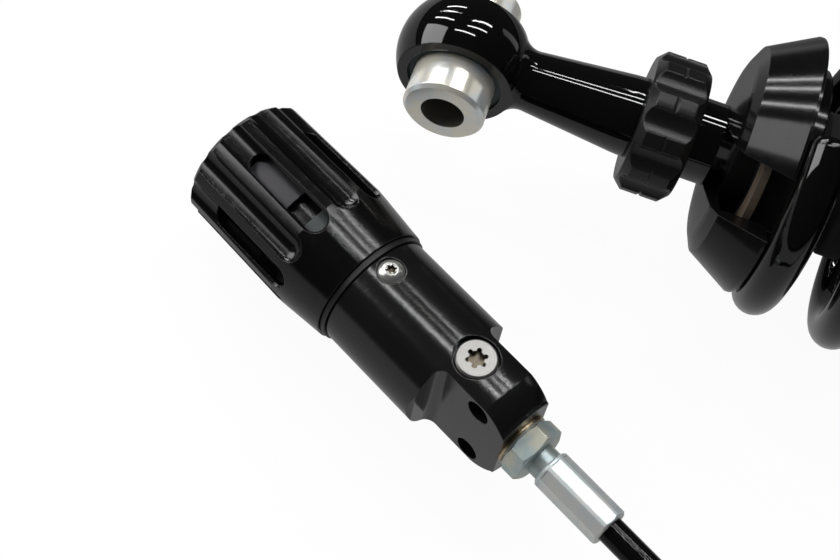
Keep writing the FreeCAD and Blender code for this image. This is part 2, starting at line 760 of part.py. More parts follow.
def spring_retainer():
    piece = Piece("spring_retainer", turned_about_x(slot_roll))
    dish = collar_end + retainer_dish
    back = seat_x + pilot_length
    piece.turn([
        (collar_end, 0),
        (collar_end + retainer_plate_thickness, 0),
        (collar_end + retainer_plate_thickness, retainer_recess_radius),
        (back, retainer_recess_radius),
        (back, pilot_radius - edge_chamfer),
        (back - edge_chamfer, pilot_radius),
        (seat_x, pilot_radius),
        (seat_x, retainer_rim_radius),
        (collar_end + retainer_cone_rise, retainer_rim_radius),
        (collar_end + retainer_corner_rise, retainer_corner_radius),
        (dish + retainer_step_rise, retainer_step_radius),
        (dish, retainer_plate_radius),
        (collar_end, retainer_hub_radius),
    ])
    reach = retainer_rim_radius * 2
    start = collar_end - edge_chamfer
    piece.cylinder((start, 0, 0), along_x, slot_half_width, reach)
    piece.box((start, -slot_half_width, 0), (reach, slot_half_width * 2, reach))


washer_start = collar_end + retainer_plate_thickness
washer_end = washer_start + washer_hub_length + bump_washer_thickness
bump_end = washer_end + bump_stop_length


def bump_stop_pieces():
    washer = Piece("bump_washer")
    flange = washer_start + washer_hub_length
    washer.turn([
        (washer_start, rod_hole),
        (washer_end, rod_hole),
        (washer_end, bump_washer_radius),
        (flange, bump_washer_radius),
        (flange, washer_hub_radius),
        (washer_start, washer_hub_radius),
    ])
    stop = Piece("bump_stop")
    lobe = bump_stop_length / bump_lobes.value
    edge = lobe / bump_lobe_edge.value
    waist = bump_stop_radius - bump_waist_depth
    points = [(washer_end, rod_hole), (bump_end, rod_hole)]
    outer = bump_stop_radius - edge_chamfer
    points += [(bump_end, outer - bump_waist_depth), (bump_end - edge, outer)]
    for turn in reversed(range(1, int(bump_lobes.value))):
        middle = washer_end + lobe * turn
        points += [(middle + edge, outer), (middle, waist), (middle - edge, outer)]
    points += [(washer_end + edge_chamfer, bump_stop_radius), (washer_end, outer)]
    stop.turn(points)


# Rod guide stations: the bump stop stops at the guide's flange at full stroke
mouth_x = bump_end + stroke + stop_gap
tube_start = mouth_x + guide_flange
guide_end = mouth_x + guide_length
clip_end = guide_end + clip_thickness
top_out_start = clip_end + stop_gap
lower_shims_x = top_out_start + top_out_thickness
piston_x = lower_shims_x + shim_stack
piston_end = piston_x + piston_length
nut_x = piston_end + shim_stack
rod_end = nut_x + nut_length + rod_tail_end
floating_start = rod_end + floating_rest_gap
floating_end = floating_start + floating_length
tube_end = floating_end + gas_room


def piston_rod():
    piece = Piece("piston_rod")
    piece.turn([
        (rod_start, rod_bore),
        (rod_end, rod_bore),
        (rod_end, rod_tail_radius - edge_chamfer),
        (rod_end - edge_chamfer, rod_tail_radius),
        (lower_shims_x, rod_tail_radius),
        (lower_shims_x, rod_radius),
        (rod_start, rod_radius),
    ])
    width = needle_pin_radius + run_fit
    start = pin_x - pin_half_way
    piece.box((start, -width, -rod_radius * 2), (pin_half_way * 2, width * 2, rod_radius * 4))


def shims(label, start, way):
    """A stack of flexing discs as one turned form, widest against the piston."""
    piece = Piece(label)
    discs = int(shim_discs.value)
    step = shim_stack * way / discs
    inner = rod_tail_radius + seat_fit
    points = [(start, inner)]
    for disc in range(discs):
        outer = shim_radius - shim_step * disc
        points += [(start + step * disc, outer), (start + step * (disc + 1), outer)]
    points.append((start + step * discs, inner))
    piece.turn(points)


def piston_pieces():
    piece = Piece("piston")
    bore = rod_tail_radius + seat_fit
    outer = tube_bore - piston_clearance
    band_start = piston_x + (piston_length - band_width) / 2
    band_end = band_start + band_width
    floor = outer - band_depth
    piece.turn([
        (piston_x, bore),
        (piston_end, bore),
        (piston_end, outer),
        (band_end, outer),
        (band_end, floor),
        (band_start, floor),
        (band_start, outer),
        (piston_x, outer),
    ])
    port = piece.cylinder(
        (piston_x - face_play, 0, port_ring_radius), along_x, port_radius, piston_length + face_play * 2
    )
    piece.repeat([port], piston_ports)
    ring("piston_band", band_start + seat_fit, band_end - seat_fit, floor + seat_fit, tube_bore - run_fit)
    shims("compression_shims", piston_x, -1)
    shims("rebound_shims", piston_end, 1)
    nut = Piece("piston_nut")
    nut.hexagon((nut_x, 0, 0), along_x, nut_corner_radius, nut_length)
    nut.cylinder((nut_x - face_play, 0, 0), along_x, bore, nut_length + face_play * 2)
    ring("top_out_washer", top_out_start, lower_shims_x, rod_hole, top_out_radius)


def rod_guide_pieces():
    piece = Piece("rod_guide")
    outer = tube_bore - seat_fit
    wiper_end = mouth_x + wiper_length
    bush_start = wiper_end + bush_land
    bush_end = bush_start + bush_length
    seal_end = bush_end + rod_seal_length
    groove_middle = mouth_x + guide_ring_from_mouth
    groove_floor = tube_bore - ring_squeeze - ring_section * 2 - ring_squeeze
    groove_half = ring_section + ring_squeeze
    piece.turn([
        (mouth_x, seal_pocket_radius),
        (wiper_end, seal_pocket_radius),
        (wiper_end, rod_radius + stop_gap),
        (bush_start, rod_radius + stop_gap),
        (bush_start, bush_outer_radius),
        (bush_end, bush_outer_radius),
        (bush_end, seal_pocket_radius),
        (guide_end, seal_pocket_radius),
        (guide_end, outer),
        (groove_middle + groove_half, outer),
        (groove_middle + groove_half, groove_floor),
        (groove_middle - groove_half, groove_floor),
        (groove_middle - groove_half, outer),
        (tube_start, outer),
        (tube_start, tube_radius),
        (mouth_x + edge_chamfer, tube_radius),
        (mouth_x, tube_radius - edge_chamfer),
    ])
    pocket = seal_pocket_radius - seat_fit
    sliding = rod_radius + run_fit
    ring("dust_wiper", mouth_x + seat_fit, wiper_end, sliding, pocket)
    ring("guide_bush", bush_start, bush_end, sliding, bush_outer_radius - seat_fit)
    ring("rod_seal", bush_end, seal_end, sliding, pocket)
    ring_centre = tube_bore - ring_squeeze - ring_section
    o_ring("guide_o_ring", groove_middle, ring_centre, ring_section)
    clip = Piece("guide_circlip")
    clip_outer = tube_bore + clip_groove_depth - run_fit
    clip.turn([
        (guide_end, clip_inner_radius),
        (clip_end, clip_inner_radius),
        (clip_end, clip_outer),
        (guide_end, clip_outer),
    ])
    gap = clip_groove_depth * 2
    clip.box((guide_end - gap, -gap, clip_inner_radius - gap), (gap * 3, gap * 2, clip_outer))


def damper_tube():
    piece = Piece("damper_tube")
    groove = tube_bore + clip_groove_depth
    piece.turn([
        (tube_start, tube_bore),
        (guide_end - run_fit, tube_bore),
        (guide_end - run_fit, groove),
        (clip_end + run_fit, groove),
        (clip_end + run_fit, tube_bore),
        (tube_end, tube_bore),
        (tube_end, tube_radius),
        (tube_start, tube_radius),
    ])


def floating_piston():
    start = floating_start
    end = floating_end
    outer = tube_bore - run_fit * 2
    middle = start + floating_groove_from_end
    half = ring_section + ring_squeeze
    floor = outer - ring_section * 2 - ring_squeeze
    cup = outer - floating_cup_wall
    piece = Piece("floating_piston")
    piece.turn([
        (start, 0),
        (end - floating_cup_depth, 0),
        (end - floating_cup_depth, cup),
        (end, cup),
        (end, outer),
        (middle + half, outer),
        (middle + half, floor),
        (middle - half, floor),
        (middle - half, outer),
        (start, outer),
    ])
    o_ring("floating_o_ring", middle, outer - ring_section + ring_squeeze / 4, ring_section)


# Head over the tube's end, with the upper eye and the gas valve's boss
head_start = tube_end - head_skirt
head_end = tube_end + head_end_thickness
valve_x = tube_end + head_end_thickness / 2
upper_eye_x = head_end + upper_neck_length


def upper_head():
    piece = Piece("upper_head")
    skirt = tube_radius + seat_fit
    ring_middle = head_start + head_skirt / 2
    half = ring_section + ring_squeeze
    floor = skirt + ring_section * 2 + ring_squeeze
    chamfer = head_chamfer
    far = upper_eye_x + upper_ball_radius
    joint = upper_eye_x - upper_ball_radius / 2
    half_ball = upper_ball_radius / 2
    joint_radius = root(upper_ball_radius * upper_ball_radius - half_ball * half_ball)
    piece.turn([
        (tube_end, 0),
        (tube_end, skirt),
        (ring_middle + half, skirt),
        (ring_middle + half, floor),
        (ring_middle - half, floor),
        (ring_middle - half, skirt),
        (head_start, skirt),
        (head_start, head_radius),
        (head_end - chamfer, head_radius),
        (head_end, head_radius - chamfer),
        (head_end, joint_radius),
        (joint, joint_radius),
        (far, 0, -upper_ball_radius),
    ])
    reach = upper_ball_radius * 2
    for y in (upper_half_width, -upper_half_width - reach):
        piece.box((head_end + edge_chamfer * 2, y, -reach), (reach * 2, reach, reach * 2))
    piece.cylinder((upper_eye_x, -reach, 0), along_y, upper_eye_bore, reach * 2)
    piece.cylinder((valve_x, 0, valve_floor), along_z, valve_radius, head_radius)
    piece.cylinder(
        (tube_end - edge_chamfer, 0, valve_passage_height), along_x, valve_passage_radius,
        head_end_thickness / 2,
    )
    top = head_radius - edge_chamfer
    piece.cylinder((valve_x, 0, top), along_z, valve_flange_corner + edge_chamfer, head_radius)
    o_ring("head_o_ring", ring_middle, skirt + ring_section + ring_squeeze / 2, ring_section)


def gas_valve_pieces():
    place = shifted(valve_x)
    top = head_radius - edge_chamfer
    stem_start = top + valve_flange_height
    stem_end = stem_start + valve_stem_height
    core = valve_stem_radius / 2
    valve = Piece("gas_valve", place)
    bottom = valve_floor + valve_room
    valve.turn([
        (core, bottom),
        (valve_radius - seat_fit, bottom),
        (valve_radius - seat_fit, top + edge_chamfer),
        (valve_stem_radius, top + edge_chamfer),
        (valve_stem_radius, stem_end),
        (core, stem_end),
    ], axis="V_Axis")
    valve.hexagon((0, 0, top), along_z, valve_flange_corner, valve_flange_height)
    valve.cylinder((0, 0, top - edge_chamfer), along_z, core, valve_flange_height + edge_chamfer * 2)
    cap = Piece("gas_valve_cap", place)
    cap_top = stem_end + valve_cap_wall + seat_fit
    inner = valve_stem_radius + seat_fit
    cap.turn([
        (inner, stem_start),
        (valve_cap_radius, stem_start),
        (valve_cap_radius, cap_top - edge_chamfer),
        (valve_cap_radius - edge_chamfer, cap_top),
        (0, cap_top),
        (0, stem_end + seat_fit),
        (inner, stem_end + seat_fit),
    ], axis="V_Axis")
    knurl = cap.cylinder((valve_cap_radius, 0, stem_start), along_z, valve_cap_knurl, cap_top)
    cap.repeat([knurl], flute_count, "Z_Axis")


# Preload jack: a ring-shaped cylinder round the tube, its ring piston and the upper spring seat
jack_end = head_start
jack_start = jack_end - jack_length
jack_piston_start = jack_start - jack_piston_proud
jack_piston_end = jack_piston_start + jack_piston_length
upper_seat_start = jack_piston_start - upper_seat_thickness
port_x = jack_start + port_from_mouth
spot_y = -jack_radius + spot_depth


def jack_pieces():
    housing = Piece("jack_housing")
    bore = tube_radius + seat_fit
    floor = jack_end - jack_end_wall
    chamfer = edge_chamfer * 2
    housing.turn([
        (jack_start, bore),
        (jack_end, bore),
        (jack_end, jack_radius - chamfer),
        (jack_end - chamfer, jack_radius),
        (jack_start + chamfer, jack_radius),
        (jack_start, jack_radius - chamfer),
        (jack_start, jack_chamber_outer),
        (floor, jack_chamber_outer),
        (floor, jack_chamber_inner),
        (jack_start, jack_chamber_inner),
    ])
    outside = -jack_radius * 2
    housing.cylinder((port_x, outside, 0), along_y, spot_radius, spot_y - outside)
    housing.cylinder((port_x, outside, 0), along_y, port_thread_radius, spot_y + port_depth - outside)
    drill_depth = chamfer - outside - jack_chamber_outer
    housing.cylinder((port_x, outside, 0), along_y, port_drill_radius, drill_depth)
    inner = jack_chamber_inner + run_fit
    outer = jack_chamber_outer - run_fit
    seal_x = jack_piston_end - jack_seal_back
    half = jack_ring_section + ring_squeeze
    depth = jack_ring_section * 2 + ring_squeeze
    ram = Piece("jack_piston")
    ram.turn([
        (jack_piston_start, inner),
        (seal_x - half, inner),
        (seal_x - half, inner + depth),
        (seal_x + half, inner + depth),
        (seal_x + half, inner),
        (jack_piston_end, inner),
        (jack_piston_end, outer),
        (seal_x + half, outer),
        (seal_x + half, outer - depth),
        (seal_x - half, outer - depth),
        (seal_x - half, outer),
        (jack_piston_start, outer),
    ])
    outer_seal = o_ring("jack_outer_seal", seal_x, outer - jack_ring_section, jack_ring_section)
    inner_seal = o_ring("jack_inner_seal", seal_x, inner + jack_ring_section, jack_ring_section)
    group("jack_seals", [outer_seal, inner_seal])
    seat = Piece("upper_spring_seat")
    pilot_start = upper_seat_start - pilot_length
    hole = tube_radius + spring_seat_gap
    seat.turn([
        (pilot_start, hole),
        (jack_piston_start, hole),
        (jack_piston_start, upper_seat_radius - chamfer),
        (jack_piston_start - chamfer, upper_seat_radius),
        (upper_seat_start, upper_seat_radius),
        (upper_seat_start, pilot_radius),
        (pilot_start + edge_chamfer, pilot_radius),
        (pilot_start, pilot_radius - edge_chamfer),
    ])


# Main spring: a wire wound in one unbroken run, flat and a little smaller at both ends
wire_radius = float(wire_diameter) / 2
spring_low = float(seat_x) + float(spring_seat_gap) + wire_radius
spring_high = float(upper_seat_start) - float(spring_seat_gap) - wire_radius
coil_radius = float(spring_outer_radius) - wire_radius
flat_turns = float(spring_flat_turns)
advance = float(coil_advance)
spring_turns = (spring_high - spring_low) / advance + 2 * flat_turns
blend_turns = float(spring_blend_turns)


def spring_rise(turn):
    """How far along the axis the wire's centre lies: flat, then a steady pitch, then flat.

    Each change from flat to pitch is a parabola over a few hundredths of a turn.
    """
    def one_side(passed):
        if passed <= -blend_turns / 2:
            return 0.0
        if passed >= blend_turns / 2:
            return passed
        return (passed + blend_turns / 2) ** 2 / (2 * blend_turns)
    climbing = one_side(turn - flat_turns) - one_side(turn - (spring_turns - flat_turns))
    return spring_low + advance * climbing


def spring_swelling(turn):
    """How much wider the coil is here than its end turns: a smooth step after the flat part."""
    passed = min(turn, spring_turns - turn) - flat_turns
    share = min(max(passed / float(spring_swell_turns), 0.0), 1.0)
    return float(spring_swell) * share**2 * (3 - 2 * share)


def spring_point(turn):
    angle = math.radians(float(spring_start_angle)) + 2 * math.pi * turn
    radius = coil_radius + spring_swelling(turn)
    return Vector(spring_rise(turn), radius * math.cos(angle), radius * math.sin(angle))


def spring_tangent(turn):
    step = 1e-4
    return (spring_point(turn + step) - spring_point(turn - step)).normalize()


def biarc(a, along_a, b, along_b):
    """Two arcs from a to b that meet in one direction and have the given directions at the ends."""
    gap = b - a
    both = along_a + along_b
    mixed = gap.dot(both)
    square = 2 * (1 - along_a.dot(along_b))
    reach = (math.sqrt(mixed * mixed + square * gap.dot(gap)) - mixed) / square
    joint = (a + along_a * reach + b - along_b * reach) * 0.5
    edges = []
    for start, way, end in ((a, along_a, joint), (b, along_b * -1, joint)):
        chord = end - start
        normal = way.cross(chord).normalize()
        inward = normal.cross(way)
        radius = chord.dot(chord) / (2 * chord.dot(inward))
        centre = start + inward * radius
        middle = centre + (start + chord * 0.5 - centre).normalize() * radius
        edges.append((start, middle, end) if start is a else (end, middle, start))
    return [Part.Arc(*three).toShape() for three in edges]


def main_spring():
    spans = math.ceil(spring_turns * float(spans_per_turn))
    turns = [spring_turns * i / spans for i in range(spans + 1)]
    edges = []
    for first, last in zip(turns, turns[1:]):
        edges += biarc(spring_point(first), spring_tangent(first), spring_point(last), spring_tangent(last))
    path = Part.Wire(edges)
    section = Part.Wire(Part.makeCircle(wire_radius, spring_point(0), spring_tangent(0)))
    solid = path.makePipeShell([section], True, False)
    spring = doc.addObject("Part::Feature", "main_spring")
    spring.Label = "main_spring"
    spring.Shape = solid
    spring.Placement = along_shock
    sub_parts.append(spring)
    count = 720
    samples = [spring_point(spring_turns * i / count) for i in range(count + 1)]
    half_turn = int(count / spring_turns / 2)
    apart = [
        (one - other).Length
        for i, one in enumerate(samples)
        for other in samples[i + half_turn:i + half_turn * 3]
    ]
    print("main spring:", round(spring_turns, 3), "turns, least gap between turns",
          round(min(apart) - 2 * wire_radius, 3), "volume", round(solid.Volume),
          "section times length", round(math.pi * wire_radius**2 * path.Length))


# Hose fittings, drawn along X from the face that the washer meets, then placed at either end
fitting_length = fitting_collar_length + fitting_hex_length + fitting_neck_length
adjuster_port = adjuster_place.multiply(shifted(body_end)).multiply(turned_about_x(hex_roll))
jack_port = Placement(Vector(float(port_x), float(spot_y), 0), Rotation(-90, 0, 0))


def hose_fittings():
    washers, fittings, ferrules = [], [], []
    for end, place in (("adjuster", adjuster_port), ("jack", jack_port)):
        hole = port_thread_radius - seat_fit
        washers.append(ring(f"{end}_washer", 0, washer_thickness, hole + seat_fit, washer_radius, place))
        hex_start = washer_thickness + fitting_collar_length
        neck_start = hex_start + fitting_hex_length
        neck_end = neck_start + fitting_neck_length
        fitting = Piece(f"{end}_fitting", place)
        fitting.turn([
            (-fitting_thread_length, fitting_bore),
            (neck_end, fitting_bore),
            (neck_end, fitting_neck_radius),
            (neck_start, fitting_neck_radius),
            (neck_start, fitting_collar_radius),
            (washer_thickness, fitting_collar_radius),
            (washer_thickness, hole),
            (-fitting_thread_length, hole),
        ])
        fitting.hexagon((hex_start, 0, 0), along_x, fitting_hex_corner, fitting_hex_length)
        beyond = fitting_hex_corner + edge_chamfer
        for face, way in ((hex_start, 1), (neck_start, -1)):
            fitting.turn([
                (face, fitting_collar_radius),
                (face + fitting_hex_chamfer * way, fitting_hex_corner),
                (face + fitting_hex_chamfer * way, beyond),
                (face, beyond),
            ][::way], kind="Groove")
        fitting.cylinder((0, 0, 0), along_x, fitting_bore, neck_start + edge_chamfer)
        fittings.append(fitting)
        ferrule = Piece(f"{end}_ferrule", place)
        ferrule_end = neck_end + ferrule_length
        ferrule.turn([
            (neck_end, 0),
            (ferrule_end, 0),
            (ferrule_end, ferrule_radius - edge_chamfer),
            (ferrule_end - edge_chamfer, ferrule_radius),
            (neck_end + edge_chamfer, ferrule_radius),
            (neck_end, ferrule_radius - edge_chamfer),
        ])
        flat = ferrule.box(
            (neck_end + crimp_start, -ferrule_radius, ferrule_radius - crimp_depth),
            (ferrule_length, ferrule_radius * 2, ferrule_radius),
        )
        ferrule.repeat([flat], crimp_sides)
        ferrules.append(ferrule)
    group("fitting_washers", [piece.body for piece in washers])
    group("hose_fittings", [piece.body for piece in fittings])
    group("hose_ferrules", [piece.body for piece in ferrules])


ferrule_reach = washer_thickness + fitting_length + ferrule_length
hose_first = adjuster_port.multVec(Vector(float(ferrule_reach), 0, 0))
hose_last = jack_port.multVec(Vector(float(ferrule_reach), 0, 0))
hose_out = adjuster_port.Rotation.multVec(Vector(1, 0, 0))
hose_in = jack_port.Rotation.multVec(Vector(1, 0, 0))
hose_route = [
    hose_first,
    hose_first + hose_out * float(hose_straight_out),
    Vector(125, -137, -16.5),
    Vector(152, -152, -29),
    Vector(184, -163, -36.5),
    Vector(219, -164, -37.2),
    Vector(251, -154, -31),
    Vector(274, -136, -18),
    Vector(286, -115, -5.5),
    hose_last + hose_in * float(hose_straight_in),
    hose_last,
]


def hose():
    """Straight runs joined by arcs, each as large as its two runs allow."""
    edges = []
    radii = []
    at = hose_route[0]
    for before, corner, after in zip(hose_route, hose_route[1:], hose_route[2:]):
        into = corner - before
        away = after - corner
        shorter = min(into.Length, away.Length)
        way_in = Vector(into).normalize()
        way_out = Vector(away).normalize()
        half_turn = way_in.getAngle(way_out) / 2
        cut = float(hose_corner_share) * shorter
        radius = cut / math.tan(half_turn)
        radii.append(radius)
        start = corner - way_in * cut
        end = corner + way_out * cut
        inward = (way_out - way_in).normalize()
        middle = corner + inward * (radius / math.cos(half_turn) - radius)
        edges.append(Part.LineSegment(at, start).toShape())
        edges.append(Part.Arc(start, middle, end).toShape())
        at = end
    edges.append(Part.LineSegment(at, hose_route[-1]).toShape())
    path = Part.Wire(edges)
    radius = float(hose_diameter) / 2
    section = Part.Wire(Part.makeCircle(radius, hose_route[0], hose_route[1] - hose_route[0]))
    solid = path.makePipeShell([section], True, False)
    tube = doc.addObject("Part::Feature", "hose")
    tube.Label = "hose"
    tube.Shape = solid
    tube.Placement = along_shock
    sub_parts.append(tube)
    print("hose: arc radii", [round(r, 1) for r in radii], "length", round(path.Length, 1),
          "volume", round(solid.Volume), "section times length",
          round(math.pi * radius**2 * path.Length))


# Preload adjuster
def adjuster_body():
    piece = Piece("adjuster_body", adjuster_place)
    port_start = body_end - port_depth
    crown_end = body_end - body_edge_round
    piece.turn([
        (body_start, chamber_radius),
        (chamber_end, chamber_radius),
        (chamber_end, channel_radius),
        (port_start, channel_radius),
        (port_start, port_thread_radius),
        (body_end, port_thread_radius),
        (body_end, body_end_radius - body_edge_round),
        (crown_end, body_end_radius, body_edge_round),
        (crown_end - body_crown_length, body_radius, body_crown_radius),
        (body_start + edge_chamfer / 2, body_radius),
        (body_start, body_radius - edge_chamfer / 2),
    ])
    shoulder = flat_start - flat_fillet
    beyond = body_end + edge_chamfer
    outside = body_radius + edge_chamfer
    for side in (1, -1):
        drawing = piece.sketch("XY_Plane", [
            (flat_start, flat_half_width * side, flat_fillet * side),
            (beyond, flat_half_width * side),
            (beyond, outside * side),
            (shoulder - flat_rounding, outside * side),
            (shoulder, (body_radius - flat_rounding) * side),
            (shoulder, (flat_half_width + flat_fillet) * side),
        ])
        cut = piece.body.newObject("PartDesign::Pocket", piece.name("flat"))
        cut.Profile = drawing
        cut.SideType = "Symmetric"
        cut.setExpression("Length", (body_radius * 3).text)
    reach = body_radius * 2
    for height in (mount_hole_offset, -mount_hole_offset):
        piece.cylinder((mount_hole_x, -reach, height), along_y, mount_hole_radius, reach * 2)
    recess_floor = bleed_head_top - bleed_head_height
    piece.cylinder((bleed_x, 0, recess_floor), along_z, bleed_recess_radius, reach)
    piece.cylinder((bleed_x, 0, 0), along_z, bleed_shank_radius, reach)
    piece.cylinder((lock_screw_x, 0, lock_seat_height), along_z, lock_head_radius + run_fit * 2, reach)
    piece.cylinder((lock_screw_x, 0, 0), along_z, lock_shank_radius + seat_fit, reach)


def adjuster_screws():
    bleed = Piece("bleed_screw", adjuster_place.multiply(shifted(bleed_x)))
    seat = bleed_head_top - bleed_head_height
    shank = bleed_shank_radius - seat_fit
    bottom = seat - bleed_shank_length
    bleed.turn([
        (0, bottom),
        (shank, bottom),
        (shank, seat),
        (bleed_head_radius, seat),
        (bleed_head_radius, bleed_head_top - edge_chamfer),
        (bleed_head_radius - edge_chamfer, bleed_head_top),
        (0, bleed_head_top),
    ], axis="V_Axis")
    star_recess(bleed, bleed_head_top, bleed_star_tip, bleed_star_depth)
    lock = Piece("lock_screw", adjuster_place.multiply(shifted(lock_screw_x)))
    top = lock_seat_height + lock_head_height
    lock.turn([
        (0, lock_seat_height - lock_shank_depth),
        (lock_shank_radius, lock_seat_height - lock_shank_depth),
        (lock_shank_radius, lock_seat_height),
        (lock_head_radius, lock_seat_height),
        (lock_head_radius, lock_seat_height + lock_head_rim),
        (lock_head_radius / 2, top, lock_head_radius),
        (0, top),
    ], axis="V_Axis")
    star_recess(lock, top, lock_star_tip, lock_star_depth)


def adjuster_neck():
    piece = Piece("adjuster_neck", adjuster_place)
    bore = plunger_rod_radius + run_fit
    spigot = chamber_radius - seat_fit
    clip_start = journal_start - plunger_clip_thickness
    groove = neck_thread_radius - edge_chamfer
    piece.turn([
        (thread_start, bore),
        (spigot_end, bore),
        (spigot_end, spigot),
        (body_start, spigot),
        (body_start, neck_journal_radius),
        (journal_start, neck_journal_radius),
        (journal_start, groove),
        (clip_start, groove),
        (clip_start, neck_thread_radius),
        (thread_start + edge_chamfer, neck_thread_radius),
        (thread_start, neck_thread_radius - edge_chamfer),
    ])
    hole = ball_radius + run_fit
    piece.cylinder((click_l, 0, click_floor), along_z, hole, neck_journal_radius)
    piece.cylinder((lock_screw_x, 0, lock_seat_height - lock_shank_depth), along_z,
                   lock_shank_radius + seat_fit, neck_journal_radius)
    place = adjuster_place
    seam = body_start - seam_gap
    ring("seam_ring", seam - seam_ring_length, seam, neck_journal_radius + seat_fit, seam_ring_radius, place)
    guide_end_l = guide_ring_start + guide_ring_length
    ring("guide_ring", guide_ring_start, guide_end_l, neck_thread_radius + seat_fit, guide_ring_radius, place)
    clip = ring("knob_clip", clip_start + run_fit, journal_start - run_fit, groove + seat_fit,
                knob_clip_radius, place)
    gap = knob_clip_radius / 3
    clip.box((clip_start - gap, -gap / 2, 0), (gap * 3, gap, -thread_start))


# The click ball sits in the neck's journal and is pushed out into the knob's track
click_l = journal_start + neck_journal_length / 2
click_track = neck_journal_radius + dimple_depth
click_floor = plunger_rod_radius + click_base


def click_pieces():
    height = click_track - ball_radius - run_fit * 2
    ball = Piece("click_ball", adjuster_place.multiply(shifted(click_l, 0, height)))
    ball.ball((0, 0, 0), ball_radius, "AdditiveSphere")
    spring = Piece("click_spring", adjuster_place.multiply(shifted(click_l)))
    top = click_track - ball_radius * 2 - run_fit * 2
    spring.turn([
        (ball_radius / 2, click_floor),
        (ball_radius, click_floor),
        (ball_radius, top),
        (ball_radius / 2, top),
    ], axis="V_Axis")


def plunger_pieces():
    place = adjuster_place
    piece = Piece("plunger", place)
    end = plunger_start + plunger_length
    outer = chamber_radius - run_fit
    shoulder = nut_start + nut_plate
    tail_end = nut_start - plunger_clip_thickness
    middle = plunger_start + plunger_length / 2
    half = ring_section + ring_squeeze
    floor = outer - ring_section * 2
    piece.turn([
        (tail_end, 0),
        (end, 0),
        (end, outer),
        (middle + half, outer),
        (middle + half, floor),
        (middle - half, floor),
        (middle - half, outer),
        (plunger_start, outer),
        (plunger_start, plunger_rod_radius),
        (shoulder, plunger_rod_radius),
        (shoulder, plunger_tail_radius),
        (tail_end, plunger_tail_radius),
    ])
    o_ring("plunger_o_ring", middle, outer - ring_section + run_fit / 2, ring_section - run_fit / 2, place)
    hole = plunger_tail_radius + seat_fit
    ring("plunger_clip", tail_end, nut_start - run_fit, hole, plunger_rod_radius, place)


def indicator_nut():
    piece = Piece("indicator_nut", adjuster_place.multiply(turned_about_x(knob_roll)))
    inside = nut_start + nut_plate
    piece.turn([
        (nut_start, plunger_tail_radius + run_fit),
        (inside, plunger_tail_radius + run_fit),
        (inside, nut_bore),
        (nut_end, nut_bore),
        (nut_end, nut_radius),
        (nut_start, nut_radius),
    ])
    spread = (key_radius - nut_bore) / 2
    for side in (1, -1):
        centre = (nut_bore + spread) * side
        piece.box(
            (inside, centre - spread, -key_half_width),
            (nut_end - inside, spread * 2, key_half_width * 2), "AdditiveBox",
        )


def knob_pieces():
    place = adjuster_place.multiply(turned_about_x(knob_roll))
    piece = Piece("knob", place)
    seam = body_start - seam_gap - seam_ring_length - face_play
    cap_seat = knob_end + cap_thickness
    bearing = neck_journal_radius + run_fit
    track = ball_radius + face_play
    dimple = click_track + run_fit * 2
    piece.turn([
        (knob_end, cap_radius + seat_fit),
        (cap_seat, cap_radius + seat_fit),
        (cap_seat, knob_bore),
        (journal_start, knob_bore),
        (journal_start, bearing),
        (click_l - track, bearing),
        (click_l - track / 2, dimple),
        (click_l + track / 2, dimple),
        (click_l + track, bearing),
        (seam, bearing),
        (seam, knob_seam_radius),
        (knob_wide_x, knob_wide_radius),
        (knob_end + knob_chamfer, knob_radius),
        (knob_end, knob_radius - knob_chamfer),
    ])
    start = knob_end - knob_chamfer
    flute = piece.cylinder((start, 0, flute_centre), along_x, flute_cutter, knob_wide_x - start)
    piece.repeat([flute], flute_count)
    end = piece.ball((knob_wide_x, 0, flute_centre), flute_cutter)
    piece.repeat([end], flute_count)
    half = window_half_width
    low = knob_bore - half / 2
    slot = piece.box(
        (window_start + half, -half, low), (window_end - window_start - half * 2, half * 2, half * 3)
    )
    first = piece.cylinder((window_start + half, 0, low), along_z, half, half * 3)
    last = piece.cylinder((window_end - half, 0, low), along_z, half, half * 3)
    piece.repeat([slot, first, last], window_count)
    way = key_radius + keyway_play - knob_bore + half
    width = key_half_width + keyway_play
    for side in (1, -1):
        middle = (knob_bore - half + way / 2) * side
        piece.box(
            (cap_seat - knob_chamfer, middle - way / 2, -width),
            (guide_ring_start - cap_seat + knob_chamfer, way, width * 2),
        )
    cap = Piece("knob_end_cap", place)
    cap.turn([
        (knob_end, 0),
        (cap_seat, 0),
        (cap_seat, cap_radius),
        (knob_end + edge_chamfer, cap_radius),
        (knob_end, cap_radius - edge_chamfer),
    ])
    hole = cap.cylinder((knob_end - edge_chamfer, 0, cap_radius / 2), along_x, ball_radius, cap_thickness / 2)
    cap.repeat([hole], cap_holes)


lower_eye()
eye_bearing("lower", 0, eye_bore_radius, lower_sleeve_radius, race_half_width, seal_thickness,
            lower_sleeve_bore, lower_sleeve_half)
rebound_wheel()
wheel_clicks()
lock_collar()
spring_retainer()
bump_stop_pieces()
piston_rod()
rebound_needle()
piston_pieces()
rod_guide_pieces()
damper_tube()
floating_piston()
upper_head()
eye_bearing("upper", upper_eye_x, upper_eye_bore, upper_sleeve_radius, upper_race_half, seal_thickness,
            upper_sleeve_bore, upper_sleeve_half)
gas_valve_pieces()
jack_pieces()
main_spring()
hose_fittings()
hose()
adjuster_body()
adjuster_screws()
adjuster_neck()
click_pieces()
plunger_pieces()
indicator_nut()
knob_pieces()
doc.recompute()

# Checks, then one file for each sub-part
faults = [o.Name for o in doc.Objects if {"Invalid", "Error"} & set(o.State)]
faults += [p.Label for p in sub_parts if p.Shape.isNull() or not p.Shape.isValid()]
if faults:
    raise RuntimeError("failed objects: " + ", ".join(faults))
os.makedirs("parts", exist_ok=True)
for part in sub_parts:
    part.Shape.exportStep(f"parts/{part.Label}.step")
print(len(sub_parts), "sub-parts written")
